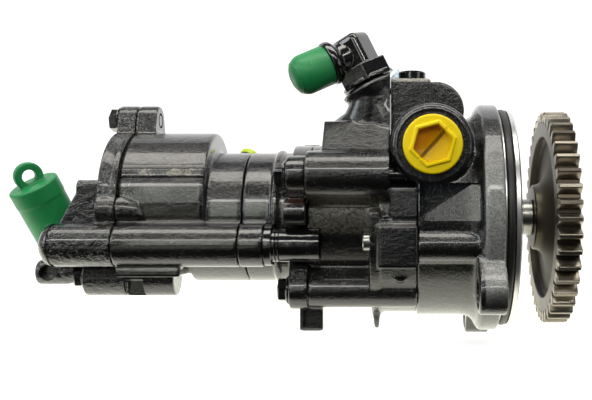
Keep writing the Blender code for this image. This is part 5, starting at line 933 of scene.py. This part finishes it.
# Loops round the gear: an X with a radius, or with None and an inset from the outline of the teeth.
loops = [(24.5, 9.3), (24.5, 19.6), (25.2, 20.6), (28, 21.2), (30.6, 23), (33, 26.4), (34.8, 32),
         (WEB_LEFT, 39), (WEB_LEFT, 49.5), (33.8, 51.3), (31, 51.7), (GEAR_LEFT, RIM_WALL),
         (GEAR_LEFT, None, 0.8), (GEAR_LEFT + 0.6, None, 0), (GEAR_RIGHT - 0.6, None, 0),
         (GEAR_RIGHT, None, 0.8), (GEAR_RIGHT, RIM_WALL), (44, 51.7), (41.2, 51.3), (39.5, 49.5),
         (39.5, 24), (39.9, 21.2), (40, 9.3)]
rings = []
for x, fixed, *inset in loops:
    polars = [(a, fixed or r - inset[0]) for a, r in outline]
    rings.append([gear.verts.new((x, -r * math.cos(a), r * math.sin(a))) for a, r in polars])
for here, there in zip(rings, rings[1:] + rings[:1]):
    for i in range(len(outline)):
        j = (i + 1) % len(outline)
        gear.faces.new((here[i], there[i], there[j], here[j]))
bmesh.ops.recalc_face_normals(gear, faces=gear.faces)
steel = Surface("oily_gear_steel")
patch = steel.noise(55, 4, 0.6)
scratch = steel.noise(700, 3, 0.5, stretch=(0.08, 1, 1))
land = steel.radius.step(60.8 * mm, 62.5 * mm)
inside = steel.radius.step(52.5 * mm, 51 * mm) * steel.radius.step(20 * mm, 23 * mm)
base = steel.blend(patch, (0.07, 0.057, 0.04), (0.14, 0.12, 0.088))
base = steel.blend(land * (0.35 + 0.65 * scratch), base, (0.31, 0.28, 0.23))
base = steel.blend(inside * 0.7, base, (0.06, 0.056, 0.042))
gloss = 0.27 + 0.22 * patch + 0.18 * inside - 0.06 * land
steel.set(Base_Color=base, Metallic=0.95 - 0.35 * inside, Roughness=gloss)
steel.bump(scratch, 0.2, 0.08 * mm)
steel.bump(patch, 0.2, 0.8 * mm)
dress(to_object("drive_gear_finished", gear), "drive_train", steel, ["drive_gear"], sharp=28)

# The shaft: ground where it shows between the pilot and the gear, with a thread for the nut.
shaft = bmesh.new()
thread = [(39 + 0.5 * i, 7 if i % 2 else 6.4) for i in range(31)]
lathe(shaft, [(-129, 0), (-129, 8.5), (-44.5, 8.5), (-44.5, 8.8), (-25.2, 8.8), (-25.2, 10), (-2.7, 10),
              (-2.7, 11), (-2.2, 11.5), (17, 11.5), (17.3, 11.1), (18, 11.1), (18.3, 11.5), (23.7, 11.5),
              (24.2, 11), (24.2, 9), (38.9, 9), *thread, (54.1, 6), (54.1, 0)], segments=96)
block(shaft, (-136, -6, -2.2), (-128, 6, 2.2))
dress(to_object("shaft_finished", shaft), "drive_train", bright, ["drive_shaft"], sharp=28)

# Washer and nut on the shaft's end, dark phosphated steel.
dark_steel = Surface("phosphated_steel")
patch = dark_steel.noise(300, 3, 0.6)
dark_steel.set(Base_Color=dark_steel.blend(patch, (0.07, 0.065, 0.06), (0.16, 0.15, 0.13)), Metallic=0.9,
               Roughness=0.35 + 0.2 * patch)
washer = bmesh.new()
lathe(washer, [(40.3, 7.3), (40.3, 14.6), (40.7, 15), (42.4, 15), (42.8, 14.6), (42.8, 7.3)], segments=96)
dress(to_object("washer_finished", washer), "drive_train", dark_steel, ["gear_washer"],
      sharp=30)
nut = bmesh.new()
lathe(nut, [(43.1, 7.3), (43.1, 11.4), (43.9, 12.7), (51.3, 12.7), (52.1, 11.4), (52.1, 7.3)], segments=6)
dress(to_object("nut_finished", nut), "drive_train", dark_steel, ["gear_nut"], sharp=20)

# The valve's cap on the square tower: a turned disc with a chamfer, painted over.
cap = bmesh.new()
lathe(cap, [(81.2, 0), (81.2, VALVE_BORE - FIT), (86.7, VALVE_BORE - FIT), (86.7, 8.8), (90.5, 8.8),
            (91.3, 8), (91.3, 5), (90.8, 4.6), (90.8, 0)], (VALVE_X, VALVE_Y, 0), AXIS_Z, 64)
dress(to_object("valve_cap", cap), "housing", smooth_paint, ["flow_valve_plug"], sharp=30)

# A folded scrap of bluish sealing foil caught beside the tower.
foil = Surface("sealing_foil")
crinkle = foil.noise(500, 2, 0.5)
foil.set(Base_Color=foil.blend(crinkle, (0.3, 0.42, 0.55), (0.75, 0.82, 0.88)), Metallic=0.7, Roughness=0.3)
foil.bump(crinkle, 0.5, 0.5 * mm)
scrap = bmesh.new()
stretched(scrap, [(-66.5, -19, 86.6), (-59, -18, 86.6), (-65.8, -16.5, 86.6), (-58.5, -16, 86.6),
                  (-63.5, -18.5, 91), (-61, -17.5, 93.3), (-62.5, -16.8, 92.5), (-59.5, -17, 88.5)])
dress(to_object("foil_scrap", scrap), "housing", foil, sharp=20)

# The small port's lime plug on the second pump, seen just behind the adapter.
lime = Surface("lime_polythene")
smear = lime.noise(80, 3, 0.5)
lime.set(Base_Color=lime.blend(smear, (0.42, 0.6, 0.005), (0.66, 0.8, 0.01)), Roughness=0.3 + 0.2 * smear,
         Subsurface_Weight=0.1, Subsurface_Radius=(0.8, 1, 0.1), Subsurface_Scale=1 * mm)
plug = bmesh.new()
lathe(plug, [(9.3, 0), (9.3, 4.7), (16.3, 4.7), (16.3, 7.2), (19.4, 7.2), (20.3, 6.3), (20.3, 0)],
      port_base, port_axis, 64)
dress(to_object("small_port_plug", plug), "housing", lime, ["rear_port_plug"], sharp=30)

# Inner parts keep the CAD's shapes. They only need what they are made of.
bronze = Surface("bearing_bronze")
patch = bronze.noise(200, 3, 0.5)
base = bronze.blend(patch, (0.42, 0.26, 0.1), (0.6, 0.4, 0.18))
bronze.set(Base_Color=base, Metallic=1.0, Roughness=0.3 + 0.2 * patch)
FINISH = {"black_paint": smooth_paint, "gear_steel": dark_steel, "bright_steel": bright, "bronze": bronze,
          "black_rubber": rubber, "green_plastic": green, "yellow_plastic": yellow, "lime_plastic": lime}
for node in nodes.values():
    for slot in node.material_slots:
        finish = next((key for key in FINISH if key in slot.material.name), "black_paint")
        slot.material = FINISH[finish].material
